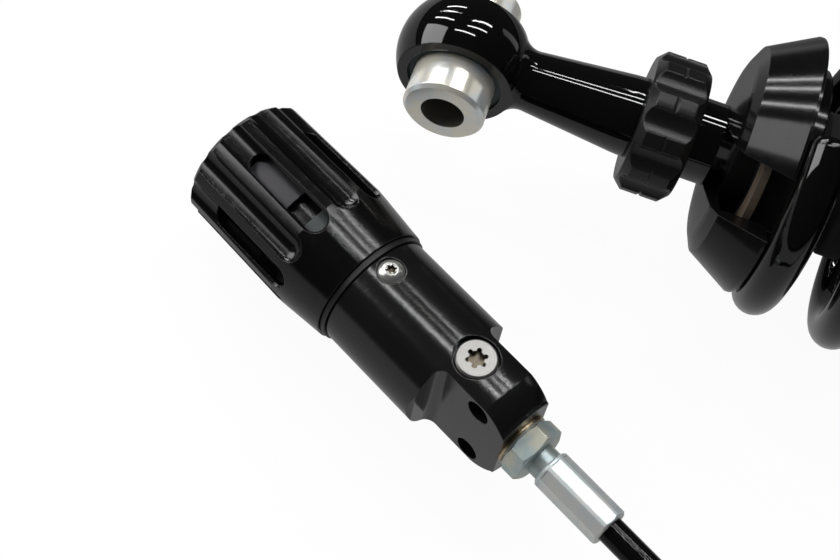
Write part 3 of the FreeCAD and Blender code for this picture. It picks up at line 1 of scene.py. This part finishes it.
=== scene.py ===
import math
import bpy
import numpy as np
from mathutils import Matrix, Vector


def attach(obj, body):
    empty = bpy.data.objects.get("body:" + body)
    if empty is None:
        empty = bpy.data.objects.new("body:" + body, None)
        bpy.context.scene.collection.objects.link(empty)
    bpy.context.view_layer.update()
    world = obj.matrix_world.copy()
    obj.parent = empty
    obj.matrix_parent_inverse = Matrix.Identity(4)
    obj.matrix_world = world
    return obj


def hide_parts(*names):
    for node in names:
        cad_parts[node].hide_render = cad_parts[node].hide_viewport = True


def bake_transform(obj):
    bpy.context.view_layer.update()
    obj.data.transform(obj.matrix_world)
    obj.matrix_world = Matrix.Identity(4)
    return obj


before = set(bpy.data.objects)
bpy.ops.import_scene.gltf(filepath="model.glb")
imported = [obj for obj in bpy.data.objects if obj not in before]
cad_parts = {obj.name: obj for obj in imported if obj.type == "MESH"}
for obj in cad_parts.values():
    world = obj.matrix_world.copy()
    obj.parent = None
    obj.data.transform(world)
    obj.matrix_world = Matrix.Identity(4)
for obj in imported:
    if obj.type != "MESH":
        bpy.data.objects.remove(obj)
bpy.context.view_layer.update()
millimetre = 0.001
scene = bpy.context.scene
scene.view_settings.view_transform = "Standard"

# The photograph's camera, fitted to the outlines of the eye, the wheel and the adjuster
cameraValues = {
    "place": (0.01480, -0.25703, 0.34771),
    "look": (-0.01317, 0.47278, -0.88108),
    "down": (0.33136, -0.82930, -0.44995),
    "lens": 66.26,
    "sensor": 36.0,
    "near": 0.01,
}


# Right is the picture's down cross the line of sight, and up is right cross the line of sight
def makeCamera(values):
    look = Vector(values["look"]).normalized()
    right = Vector(values["down"]).cross(look).normalized()
    up = right.cross(look)
    data = bpy.data.cameras.new("camera")
    data.lens = values["lens"]
    data.sensor_width = values["sensor"]
    data.clip_start = values["near"]
    camera = bpy.data.objects.new("camera", data)
    scene.collection.objects.link(camera)
    turn = Matrix((right, up, -look)).transposed().to_4x4()
    camera.matrix_world = Matrix.Translation(values["place"]) @ turn
    scene.camera = camera


makeCamera(cameraValues)
print("camera placed")


# A shader socket or a plain number, with Python's arithmetic on it
class Socket:
    def __init__(self, tree, source):
        self.tree = tree
        self.source = source

    def maths(self, operation, *others):
        node = self.tree.nodes.new("ShaderNodeMath")
        node.operation = operation
        for place, value in enumerate((self, *others)):
            put(self.tree, node.inputs[place], value)
        return Socket(self.tree, node.outputs[0])

    def __add__(self, other):
        return self.maths("ADD", other)

    def __radd__(self, other):
        return self.maths("ADD", other)

    def __sub__(self, other):
        return self.maths("SUBTRACT", other)

    def __rsub__(self, other):
        return Socket(self.tree, other).maths("SUBTRACT", self)

    def __mul__(self, other):
        return self.maths("MULTIPLY", other)

    def __rmul__(self, other):
        return self.maths("MULTIPLY", other)

    def clamped(self):
        return self.maths("MAXIMUM", 0.0).maths("MINIMUM", 1.0)

    # Zero up to zero, then rising with this gain to one
    def rise(self, gain):
        return (self * gain).clamped()


# Links a socket to an input, or sets the input's own value
def put(tree, inputSocket, value):
    if isinstance(value, Socket):
        value = value.source
    if isinstance(value, bpy.types.NodeSocket):
        tree.links.new(value, inputSocket)
    else:
        inputSocket.default_value = value


# A node tree, and the method that adds any node to it
class Nodes:
    def __init__(self, tree):
        self.tree = tree

    # Settings come first, then sockets by name, or by number as n0, n1. A ramp starts with two stops.
    def node(self, kind, settings=None, out=0, **inputs):
        made = self.tree.nodes.new("ShaderNode" + kind)
        for name, value in (settings or {}).items():
            if name == "stops":
                ramp = made.color_ramp.elements
                for place, (position, colour) in enumerate(value):
                    stop = ramp[place] if place < 2 else ramp.new(position)
                    stop.position = position
                    stop.color = colour
            else:
                setattr(made, name, value)
        for name, value in inputs.items():
            key = int(name[1:]) if name[1:].isdigit() else name.replace("_", " ")
            put(self.tree, made.inputs[key], value)
        return Socket(self.tree, made.outputs[out])


# A material being built: one Principled shader and the nodes that feed it
class Finish(Nodes):
    def __init__(self, name):
        self.material = bpy.data.materials.new(name)
        self.material.use_nodes = True
        super().__init__(self.material.node_tree)
        self.tree.nodes.clear()
        self.shader = self.tree.nodes.new("ShaderNodeBsdfPrincipled")
        self.output = self.tree.nodes.new("ShaderNodeOutputMaterial")
        self.tree.links.new(self.shader.outputs[0], self.output.inputs[0])

    def place(self):
        return self.node("TexCoord", out="Object")

    # Vector Math, with the vectors in order; out="Value" for the operations that give a number
    def vector(self, operation, *vectors, out="Vector", **inputs):
        inputs.update({"n" + str(number): vector for number, vector in enumerate(vectors)})
        return self.node("VectorMath", {"operation": operation}, out=out, **inputs)

    def along(self, axis):
        return self.vector("DOT_PRODUCT", self.place(), axis, out="Value")

    def noise(self, scale, detail=3.0):
        return self.node("TexNoise", Vector=self.place(), Scale=scale, Detail=detail)

    # Fine rings: noise of one distance alone
    def rings(self, distance, scale):
        return self.node("TexNoise", {"noise_dimensions": "1D"}, W=distance, Scale=scale, Detail=2.0)

    def mix(self, factor, first, second):
        return self.node("MixRGB", Fac=factor, Color1=first, Color2=second)

    def bump(self, height, values, normal):
        return self.node("Bump", Height=height, Strength=values["bumpStrength"],
                         Distance=values["bumpDistance"], Normal=normal)

    def softEdge(self, radius):
        return self.node("Bevel", {"samples": 6}, Radius=radius)

    # One on a sharp edge, falling to zero on the faces beside it
    def edgeMask(self, edge, gain):
        flat = self.node("NewGeometry", out="Normal")
        return (1 - self.vector("DOT_PRODUCT", edge, flat, out="Value")).rise(gain)

    def set(self, **values):
        for name, value in values.items():
            put(self.tree, self.shader.inputs[name.replace("_", " ")], value)
        return self.material


def grey(level):
    return (level, level, level, 1.0)


def shade(colour, share):
    return tuple(c * share for c in colour[:3]) + (1.0,)


alongShock = (1.0, 0.0, 0.0)
alongAdjuster = (0.86219, -0.50180, 0.06958)

satinCommon = {
    "ringScale": 5200.0, "grainScale": 5600.0, "cloudScale": 55.0, "cloudLift": 1.7, "roughSpread": 0.03,
    "wornColour": (0.10, 0.10, 0.11, 1), "wearGain": 2.0, "edgeRadius": 0.0004,
    "polishedRoughness": 0.06, "polishedGain": 4000.0, "polishedFrom": -1.0, "polishedTo": -1.0,
    "bumpStrength": 0.8, "bumpDistance": 0.00006,
}
satinValues = {
    "shockSatin": {
        "axis": alongShock, "roughness": 0.075, "turning": 1.0, "grain": 0.12, "level": 0.0025,
        "specular": 0.09, "coat": 0.34, "coatRoughness": 0.11,
        "polishedFrom": 0.0757, "polishedTo": 0.0774},
    "adjusterSatin": {
        "axis": alongAdjuster, "roughness": 0.125, "turning": 0.22, "grain": 0.04, "level": 0.0040,
        "specular": 0.58, "coat": 0.0, "coatRoughness": 0.10},
    "knobSatin": {
        "axis": alongAdjuster, "roughness": 0.12, "turning": 0.3, "grain": 0.08, "level": 0.0016,
        "specular": 0.40, "coat": 0.09, "coatRoughness": 0.10},
}


# Black anodising over fine turned rings and blasted grain, a little brighter along its edges.
# Between polishedFrom and polishedTo along the axis it is polished, as on the retainer's front ring.
def satinBlack(name, values):
    made = Finish(name)
    along = made.along(values["axis"])
    turning = made.rings(along, values["ringScale"])
    grain = made.noise(values["grainScale"], detail=2.0)
    cloud = made.noise(values["cloudScale"])
    polished = (values["polishedTo"] - along).rise(values["polishedGain"])
    polished = polished * (along - values["polishedFrom"]).rise(values["polishedGain"])
    edge = made.softEdge(values["edgeRadius"])
    worn = made.edgeMask(edge, values["wearGain"])
    body = made.mix(cloud, grey(values["level"]), grey(values["level"] * values["cloudLift"]))
    rough = values["roughness"] + values["roughSpread"] * cloud + values["roughSpread"] * turning
    height = (turning * values["turning"] + grain * values["grain"]) * (1 - polished)
    return made.set(
        Base_Color=made.mix(worn * cloud, body, values["wornColour"]),
        Roughness=rough * (1 - polished) + values["polishedRoughness"] * polished,
        Normal=made.bump(height, values, edge),
        Specular_IOR_Level=values["specular"],
        Coat_Weight=values["coat"],
        Coat_Roughness=values["coatRoughness"],
    )


glossValues = {
    "colour": grey(0.0022), "roughness": 0.045, "specular": 0.40, "coat": 0.2, "coatRoughness": 0.03,
    "dustColour": grey(0.05), "dustScale": 3100.0, "dustFrom": 0.76, "dustGain": 9.0, "dustRoughness": 0.3,
    "peelScale": 420.0, "bumpStrength": 0.035, "bumpDistance": 0.00004, "edgeRadius": 0.0004,
}


# Deep gloss paint with a little orange peel and a few specks of dust
def glossBlack(name, values):
    made = Finish(name)
    peel = made.noise(values["peelScale"], detail=2.0)
    dust = (made.noise(values["dustScale"], detail=1.0) - values["dustFrom"]).rise(values["dustGain"])
    return made.set(
        Base_Color=made.mix(dust, values["colour"], values["dustColour"]),
        Roughness=values["roughness"] + values["dustRoughness"] * dust,
        Normal=made.bump(peel, values, made.softEdge(values["edgeRadius"])),
        Specular_IOR_Level=values["specular"],
        Coat_Weight=values["coat"],
        Coat_Roughness=values["coatRoughness"],
    )


matteValues = {
    "dark": grey(0.0060), "pale": grey(0.0100), "cloudScale": 70.0, "grainScale": 1900.0,
    "wornColour": (0.08, 0.08, 0.085, 1), "wearGain": 2.5, "edgeRadius": 0.0006,
    "roughness": 0.20, "roughSpread": 0.10, "specular": 0.30, "bumpStrength": 0.3, "bumpDistance": 0.00004,
}


# Bead-blasted black anodising, as on the scalloped wheel, rubbed along its edges
def matteBlack(name, values):
    made = Finish(name)
    grain = made.noise(values["grainScale"], detail=5.0)
    edge = made.softEdge(values["edgeRadius"])
    worn = made.edgeMask(edge, values["wearGain"])
    body = made.mix(made.noise(values["cloudScale"]), values["dark"], values["pale"])
    return made.set(
        Base_Color=made.mix(worn * grain, body, values["wornColour"]),
        Roughness=values["roughness"] + values["roughSpread"] * grain,
        Normal=made.bump(grain, values, edge),
        Specular_IOR_Level=values["specular"],
    )


zincCommon = {
    "cloudScale": 170.0, "coldAt": 0.36, "plainAt": 0.5, "warmAt": 0.66,
    "ringScale": 5200.0, "ringRoughness": 0.08,
    "grainScale": 2400.0, "grainRoughness": 0.10, "grainHeight": 0.5,
    "wornColour": (0.80, 0.80, 0.78, 1), "wearGain": 2.0, "edgeRadius": 0.0003,
    "boreShadeColour": (0.07, 0.065, 0.045, 1), "boreRadius": 0.0, "boreGain": 8000.0,
    "bumpStrength": 0.2, "bumpDistance": 0.00003,
}
zincValues = {
    "sleeveZinc": {
        "axis": (0.0, 1.0, 0.0), "roughness": 0.12, "metallic": 0.62, "boreRadius": 0.0062,
        "cold": (0.84, 0.89, 0.90, 1), "plain": (0.94, 0.91, 0.83, 1), "warm": (0.96, 0.92, 0.78, 1)},
    "fittingZinc": {
        "axis": alongAdjuster, "roughness": 0.24, "metallic": 0.50,
        "cold": (0.31, 0.38, 0.40, 1), "plain": (0.38, 0.44, 0.43, 1), "warm": (0.48, 0.48, 0.40, 1)},
    "ferruleZinc": {
        "axis": alongAdjuster, "roughness": 0.36, "metallic": 0.70,
        "cold": (0.58, 0.64, 0.66, 1), "plain": (0.66, 0.70, 0.70, 1), "warm": (0.72, 0.72, 0.69, 1)},
}


# Zinc plating: grey with pale blue and straw-yellow clouds over fine turning.
# Within boreRadius of the axis through the origin it is painted dark and brown, a painted shade inside the
# eye's sleeve.
def zincPlate(name, values):
    made = Finish(name)
    stops = [(values[tone + "At"], values[tone]) for tone in ("cold", "warm", "plain")]
    tint = made.node("ValToRGB", {"stops": stops}, Fac=made.noise(values["cloudScale"]))
    turning = made.rings(made.along(values["axis"]), values["ringScale"])
    grain = made.noise(values["grainScale"], detail=4.0)
    edge = made.softEdge(values["edgeRadius"])
    worn = made.edgeMask(edge, values["wearGain"])
    across = made.vector("CROSS_PRODUCT", made.place(), values["axis"])
    radius = made.vector("LENGTH", across, out="Value")
    # painted shade inside the bore: darker and browner within boreRadius of the axis
    bore = (values["boreRadius"] - radius).rise(values["boreGain"])
    plated = made.mix(worn, tint, values["wornColour"])
    rough = values["roughness"] + values["grainRoughness"] * grain + values["ringRoughness"] * turning
    return made.set(
        Base_Color=made.mix(bore, plated, values["boreShadeColour"]),
        Metallic=values["metallic"],
        Roughness=rough,
        Normal=made.bump(turning + values["grainHeight"] * grain, values, edge),
    )


metalCommon = {
    "axis": alongShock, "metallic": 1.0, "cloudScale": 90.0, "cloudDrop": 0.84,
    "ringScale": 4200.0, "ringRoughness": 0.08,
    "grainScale": 2000.0, "grainRoughness": 0.05, "grainHeight": 0.3,
    "edgeRadius": 0.0003, "bumpStrength": 0.3, "bumpDistance": 0.00003,
}
metalValues = {
    "steel": {"colour": (0.58, 0.58, 0.57, 1), "roughness": 0.22},
    "chrome": {"colour": (0.75, 0.76, 0.77, 1), "roughness": 0.05},
    "alloy": {"colour": (0.66, 0.67, 0.68, 1), "roughness": 0.28},
    "gunmetal": {
        "colour": (0.058, 0.056, 0.060, 1), "roughness": 0.32, "axis": alongAdjuster, "metallic": 0.9},
    "brass": {"colour": (0.62, 0.50, 0.33, 1), "roughness": 0.25},
}


# Bare metal, a little cloudy, turned round its axis
def plainMetal(name, values):
    made = Finish(name)
    turning = made.rings(made.along(values["axis"]), values["ringScale"])
    grain = made.noise(values["grainScale"], detail=4.0)
    edge = made.softEdge(values["edgeRadius"])
    cloudy = shade(values["colour"], values["cloudDrop"])
    rough = values["roughness"] + values["ringRoughness"] * turning + values["grainRoughness"] * grain
    return made.set(
        Base_Color=made.mix(made.noise(values["cloudScale"]), values["colour"], cloudy),
        Metallic=values["metallic"],
        Roughness=rough,
        Normal=made.bump(turning + values["grainHeight"] * grain, values, edge),
    )


screwCommon = {
    "up": (-0.06014, 0.03500, 0.99758), "metallic": 0.88,
    "ringScale": 4200.0, "ringLift": 1.25, "ringDrop": 0.7, "ringRoughness": 0.12,
    "recessColour": (0.14, 0.12, 0.09, 1), "recessGain": 20000.0,
    "edgeRadius": 0.00012, "bumpStrength": 0.4, "bumpDistance": 0.00004,
}
screwValues = {
    "bleedFace": {
        "middle": (0.02958, -0.08640, 0.00081), "colour": (0.31, 0.305, 0.295, 1), "roughness": 0.32,
        "recessRadius": 0.0031, "recessTop": -0.00012},
    "lockFace": {
        "middle": (0.00181, -0.07024, 0.00012), "colour": (0.64, 0.64, 0.61, 1), "roughness": 0.20,
        "recessRadius": 0.00155, "recessTop": -0.00030},
}


# Bright turned screw head with rings round its middle. Its driver recess, which is near the middle
# and lower than recessTop, is darker and browner.
def screwFace(name, values):
    made = Finish(name)
    away = made.vector("SUBTRACT", made.place(), values["middle"])
    height = made.vector("DOT_PRODUCT", away, values["up"], out="Value")
    turning = made.rings(made.vector("LENGTH", away, out="Value"), values["ringScale"])
    level = made.vector("SUBTRACT", away, made.vector("SCALE", values["up"], Scale=height))
    radius = made.vector("LENGTH", level, out="Value")
    low = (values["recessTop"] - height).rise(values["recessGain"])
    recess = low * (values["recessRadius"] - radius).rise(values["recessGain"])
    colour = values["colour"]
    bright = made.mix(turning, shade(colour, values["ringLift"]), shade(colour, values["ringDrop"]))
    return made.set(
        Base_Color=made.mix(recess, bright, values["recessColour"]),
        Metallic=values["metallic"],
        Roughness=values["roughness"] + values["ringRoughness"] * turning,
        Normal=made.bump(turning, values, made.softEdge(values["edgeRadius"])),
    )


rubberCommon = {
    "cloudScale": 60.0, "cloudLift": 1.6, "grainScale": 1500.0, "roughSpread": 0.12, "specular": 0.4,
    "edgeRadius": 0.0002, "bumpStrength": 0.3, "bumpDistance": 0.00004,
}
rubberValues = {
    "rubber": {"colour": grey(0.006), "roughness": 0.35},
    # dark rubber tinted teal: the teal is a painted reflection
    "sealRubber": {"colour": (0.004, 0.016, 0.018, 1), "roughness": 0.35},
    "bumpFoam": {"colour": grey(0.008), "roughness": 0.8, "grainScale": 700.0},
    "nylon": {"colour": (0.034, 0.042, 0.041, 1), "roughness": 0.4},
    "hoseCover": {
        "colour": grey(0.002), "roughness": 0.02, "specular": 0.22,
        "grainScale": 800.0, "bumpStrength": 1.6},
}


# Rubber, foam or plastic with a moulded grain
def mouldedRubber(name, values):
    made = Finish(name)
    grain = made.noise(values["grainScale"], detail=4.0)
    cloudy = shade(values["colour"], values["cloudLift"])
    return made.set(
        Base_Color=made.mix(made.noise(values["cloudScale"]), values["colour"], cloudy),
        Roughness=values["roughness"] + values["roughSpread"] * grain,
        Normal=made.bump(grain, values, made.softEdge(values["edgeRadius"])),
        Specular_IOR_Level=values["specular"],
    )


washerValues = {
    "rim": (0.13, 0.10, 0.075, 1), "rimRadius": 0.0166, "rimGain": 8000.0, "rimDrop": 0.7,
    "inner": grey(0.004), "grainScale": 1300.0, "roughness": 0.42, "roughSpread": 0.12, "specular": 0.3,
    "edgeRadius": 0.0003, "bumpStrength": 0.12, "bumpDistance": 0.00003,
}


# Washer with a tan edge and black elsewhere: the radius from the rod's axis tells them apart
def bumpWasher(name, values):
    made = Finish(name)
    level = made.vector("MULTIPLY", made.place(), (0.0, 1.0, 1.0))
    radius = made.vector("LENGTH", level, out="Value")
    rim = (radius - values["rimRadius"]).rise(values["rimGain"])
    grain = made.noise(values["grainScale"], detail=4.0)
    tan = made.mix(grain, values["rim"], shade(values["rim"], values["rimDrop"]))
    return made.set(
        Base_Color=made.mix(rim, values["inner"], tan),
        Roughness=values["roughness"] + values["roughSpread"] * grain,
        Normal=made.bump(grain, values, made.softEdge(values["edgeRadius"])),
        Specular_IOR_Level=values["specular"],
    )


# Each finish has its own values over those that its kind shares
finishes = {
    "glossBlack": glossBlack("glossBlack", glossValues),
    "matteBlack": matteBlack("matteBlack", matteValues),
    "bumpWasher": bumpWasher("bumpWasher", washerValues),
}
for makeFinish, common, family in (
        (satinBlack, satinCommon, satinValues),
        (zincPlate, zincCommon, zincValues),
        (screwFace, screwCommon, screwValues),
        (plainMetal, metalCommon, metalValues),
        (mouldedRubber, rubberCommon, rubberValues)):
    for name, values in family.items():
        finishes[name] = makeFinish(name, {**common, **values})

nodeFinishes = {
    "shockSatin": "spring_retainer jack_housing upper_head upper_spring_seat",
    "adjusterSatin": "adjuster_body adjuster_neck",
    "knobSatin": "knob knob_end_cap",
    "matteBlack": "rebound_wheel",
    "glossBlack": "lower_eye lock_collar main_spring",
    "sleeveZinc": "lower_eye_sleeve upper_eye_sleeve gas_valve_cap",
    "fittingZinc": "hose_fittings",
    "ferruleZinc": "hose_ferrules",
    "bleedFace": "bleed_screw",
    "lockFace": "lock_screw",
    "steel": "lower_bearing_race upper_bearing_race wheel_detent_ball wheel_detent_spring rebound_needle "
             "needle_cross_pin compression_shims rebound_shims piston_nut guide_circlip top_out_washer "
             "click_ball click_spring knob_clip plunger_clip plunger",
    "chrome": "piston_rod",
    "alloy": "piston rod_guide floating_piston jack_piston damper_tube",
    "gunmetal": "indicator_nut",
    "brass": "fitting_washers gas_valve guide_bush",
    "rubber": "rod_seal dust_wiper guide_o_ring floating_o_ring head_o_ring jack_seals seam_ring "
              "plunger_o_ring",
    "sealRubber": "lower_eye_seals upper_eye_seals",
    "bumpFoam": "bump_stop",
    "bumpWasher": "bump_washer",
    "nylon": "guide_ring piston_band",
    "hoseCover": "hose",
}
for finish, names in nodeFinishes.items():
    for name in names.split():
        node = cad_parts[name]
        node.data.materials.clear()
        node.data.materials.append(finishes[finish])
print("materials made")


# An object from an array of points and a list of faces, with its place in its mesh
def meshPiece(name, points, faces, finish, smooth=True):
    mesh = bpy.data.meshes.new(name)
    mesh.from_pydata(points.reshape(-1, 3).tolist(), [], faces)
    mesh.update()
    mesh.polygons.foreach_set("use_smooth", [smooth] * len(mesh.polygons))
    mesh.materials.append(finishes[finish])
    made = bpy.data.objects.new(name, mesh)
    scene.collection.objects.link(made)
    return made


# Quads between the rings of a tube, and a cap at each end. Point c of ring r is number r * around + c.
def tubeFaces(rings, around):
    r, c = np.meshgrid(np.arange(rings - 1), np.arange(around), indexing="ij")
    nextR = r + 1
    nextC = (c + 1) % around
    faces = np.stack([r * around + c, nextR * around + c, nextR * around + nextC, r * around + nextC], -1)
    last = rings * around
    caps = [list(range(around)), list(range(last - 1, last - around - 1, -1))]
    return faces.reshape(-1, 4).tolist() + caps


# The main spring, in millimetres and turns. Its wire's centre follows the same rise as the solid.
springValues = {
    "coilRadius": 35.25, "wireRadius": 5.75, "pitch": 23.5, "flatTurns": 0.245, "blendTurns": 0.15,
    "swell": 1.9, "startAngle": 110.0, "low": 96.85, "high": 245.95, "stepsPerTurn": 96, "around": 28,
}


# Height of the wire's centre: flat, a steady pitch, flat, with a parabola at each change
def springRise(values, turn, turns):
    flat = values["flatTurns"]
    blend = values["blendTurns"]

    def passed(t):
        inside = (np.clip(t, -blend / 2, blend / 2) + blend / 2) ** 2 / (2 * blend)
        return np.where(t > blend / 2, t, inside)
    return values["low"] + values["pitch"] * (passed(turn - flat) - passed(turn - (turns - flat)))


# Each point is the centre at its turn plus the wire's radius times cosine a outward and sine a beside.
# The coil widens by swell over the turn after each flat end, on a smooth step.
def mainSpring(values):
    turns = (values["high"] - values["low"]) / values["pitch"] + 2 * values["flatTurns"]
    turn = np.linspace(0, turns, int(turns * values["stepsPerTurn"]) + 1)
    angle = np.radians(values["startAngle"]) + 2 * np.pi * turn
    outward = np.stack([np.zeros_like(angle), np.cos(angle), np.sin(angle)], -1)
    passed = np.clip(np.minimum(turn, turns - turn) - values["flatTurns"], 0, 1)
    radius = values["coilRadius"] + values["swell"] * passed**2 * (3 - 2 * passed)
    centre = outward * radius[:, None]
    centre[:, 0] = springRise(values, turn, turns)
    along = np.gradient(centre, axis=0)
    along /= np.linalg.norm(along, axis=1)[:, None]
    beside = np.cross(along, outward)
    a = np.linspace(0, 2 * np.pi, values["around"], endpoint=False)[None, :, None]
    points = centre[:, None] + values["wireRadius"] * (
        np.cos(a) * outward[:, None] + np.sin(a) * beside[:, None])
    faces = tubeFaces(len(turn), values["around"])
    made = meshPiece("mainSpringWire", points * millimetre, faces, "glossBlack")
    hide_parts("main_spring")
    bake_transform(made)


mainSpring(springValues)
print("spring wound")

# The hose in millimetres, its length in metres: from the adjuster's ferrule to the jack's, over the
# same points as its solid, with a straight stretch out of each
hoseValues = {
    "diameter": 7.5, "length": 0.2945, "resolution": 24, "around": 8,
    "adjusterEnd": (74.69619831, -112.66206587, -11.73758716), "adjusterStraight": 26,
    "jackEnd": (289.0, -72.2, 0.0), "jackStraight": (0, 21.5, 0),
    "between": [(125, -137, -16.5), (152, -152, -29), (184, -163, -36.5), (219, -164, -37.2),
                (251, -154, -31), (274, -136, -18), (286, -115, -5.5)],
}


def makeHose(values):
    first = Vector(values["adjusterEnd"])
    last = Vector(values["jackEnd"])
    afterFirst = first + Vector(alongAdjuster).normalized() * values["adjusterStraight"]
    beforeLast = last - Vector(values["jackStraight"])
    route = [first, afterFirst, *map(Vector, values["between"]), beforeLast, last]
    data = bpy.data.curves.new("preloadHose", "CURVE")
    data.dimensions = "3D"
    line = data.splines.new("NURBS")
    line.points.add(len(route) - 1)
    for point, place in zip(line.points, route):
        point.co = (*(place * millimetre), 1.0)
    line.order_u = 3
    line.use_endpoint_u = True
    line.resolution_u = values["resolution"]
    data.bevel_depth = values["diameter"] / 2 * millimetre
    data.bevel_resolution = values["around"]
    data.use_fill_caps = True
    data.materials.append(finishes["hoseCover"])
    made = bpy.data.objects.new("preloadHose", data)
    scene.collection.objects.link(made)
    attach(made, "damper")
    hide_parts("hose")


makeHose(hoseValues)
print("hose laid")

floorValues = {
    "height": -0.0434, "reach": 6.0, "shadowShare": 0.05,
    "paperScale": 20.0, "paperDark": grey(0.84), "paperPale": grey(0.88), "underGloss": grey(0.02),
    "inGloss": 0.42, "fadeCentre": (-0.42, -0.30, 0.0), "fadeStart": 0.72, "fadeLength": 0.35,
    "shadeShare": 0.7, "shadeFront": -0.03, "frontGain": 25, "shadeBack": 0.30, "backGain": 20,
    "shadeLeft": 0.03, "leftGain": 25,
}


# A flat sheet, white to the camera apart from the object's shadow. In reflections it glows with its own
# brightness, a painted pool of light that fades with distance, with a painted shadow in the strip beneath
# the shock.
def makeFloor(values):
    corners = np.array([(-1, -1, 0), (1, -1, 0), (1, 1, 0), (-1, 1, 0)], float) * values["reach"]
    corners[:, 2] = values["height"]
    made = Finish("floorPaper")
    onCamera = made.node("LightPath", out="Is Camera Ray")
    onGloss = made.node("LightPath", out="Is Glossy Ray")
    far = made.vector("DISTANCE", made.place(), values["fadeCentre"], out="Value")
    # painted pool of light in reflections, brightest near fadeCentre and fading with distance
    near = (1 - (far - values["fadeStart"]) * (1 / values["fadeLength"])).clamped()
    ahead = made.along((0.0, 1.0, 0.0))
    # painted shadow of the shock on the floor, seen only in reflections: the strip beneath the shock
    shaded = (ahead - values["shadeFront"]).rise(values["frontGain"])
    shaded = shaded * (values["shadeBack"] - ahead).rise(values["backGain"])
    shaded = shaded * (made.along(alongShock) - values["shadeLeft"]).rise(values["leftGain"])
    glossy = near * (1 - shaded * values["shadeShare"]) * values["inGloss"]
    seen = onCamera * (1 - values["shadowShare"]) + onGloss * glossy
    speckled = made.mix(made.noise(values["paperScale"]), values["paperDark"], values["paperPale"])
    paper = made.node("BsdfDiffuse", Color=speckled)
    dark = made.node("BsdfDiffuse", Color=values["underGloss"])
    ground = made.node("MixShader", n0=onGloss, n1=paper, n2=dark)
    sheet = made.node("MixShader", n0=seen, n1=ground, n2=made.node("Emission"))
    put(made.tree, made.output.inputs[0], sheet)
    made.tree.nodes.remove(made.shader)
    finishes["floorPaper"] = made.material
    floor = meshPiece("floor", corners, [[0, 1, 2, 3]], "floorPaper", smooth=False)


worldValues = {"colour": grey(1.0), "onDiffuse": 0.25, "inGloss": 0.03}


# White to the camera and through glass, a soft fill on dull surfaces and a dark room in reflections
def makeWorld(values):
    world = bpy.data.worlds.new("world")
    world.use_nodes = True
    made = Nodes(world.node_tree)
    kinds = ("Camera", "Diffuse", "Glossy", "Transmission")
    onCamera, onDiffuse, onGloss, onThrough = (
        made.node("LightPath", out="Is " + kind + " Ray") for kind in kinds)
    level = onCamera + onDiffuse * values["onDiffuse"] + onGloss * values["inGloss"] + onThrough
    sky = made.tree.nodes["Background"]
    put(made.tree, sky.inputs["Strength"], level)
    put(made.tree, sky.inputs["Color"], values["colour"])
    scene.world = world


# Two banks of three tubes behind the object and a soft box on either side: each lamp runs between
# two directions seen from the lower eye, at one distance, with a width and a brightness
lampDistance = 1.6
tube = {"width": 0.045, "bright": 34}
lampValues = {
    "tubeLeftFar": {"ends": ((-0.592, 0.727, 0.348), (-0.260, 0.787, 0.559)), **tube},
    "tubeLeftMid": {"ends": ((-0.705, 0.626, 0.334), (-0.331, 0.633, 0.700)), **tube},
    "tubeLeftNear": {"ends": ((-0.806, 0.453, 0.382), (-0.485, 0.380, 0.787)), **tube},
    "tubeRightFar": {"ends": ((-0.061, 0.492, 0.869), (0.412, 0.543, 0.732)), **tube},
    "tubeRightMid": {"ends": ((-0.140, 0.300, 0.944), (0.375, 0.338, 0.863)), **tube},
    "tubeRightNear": {"ends": ((-0.420, 0.101, 0.902), (0.139, 0.088, 0.986)), **tube},
    "boxLeft": {"ends": ((-0.935, 0.092, 0.210), (-0.600, -0.070, 0.725)), "width": 0.75, "bright": 5.2},
    "boxRight": {"ends": ((0.800, 0.550, -0.02), (0.607, 0.610, 0.47)), "width": 0.28, "bright": 0.8},
}


# A lamp's power is its brightness times pi times its area
def makeLamps(lamps, distance):
    for name, values in lamps.items():
        first, last = (Vector(end).normalized() * distance for end in values["ends"])
        middle = (first + last) / 2
        along = (last - first).normalized()
        across = middle.normalized().cross(along).normalized()
        data = bpy.data.lights.new(name, "AREA")
        data.shape = "RECTANGLE"
        data.size = (last - first).length
        data.size_y = values["width"]
        data.energy = values["bright"] * math.pi * data.size * data.size_y
        lamp = bpy.data.objects.new(name, data)
        scene.collection.objects.link(lamp)
        turn = Matrix((along, across, along.cross(across))).transposed().to_4x4()
        lamp.matrix_world = Matrix.Translation(middle) @ turn


makeFloor(floorValues)
makeWorld(worldValues)
makeLamps(lampValues, lampDistance)
print("stage set")
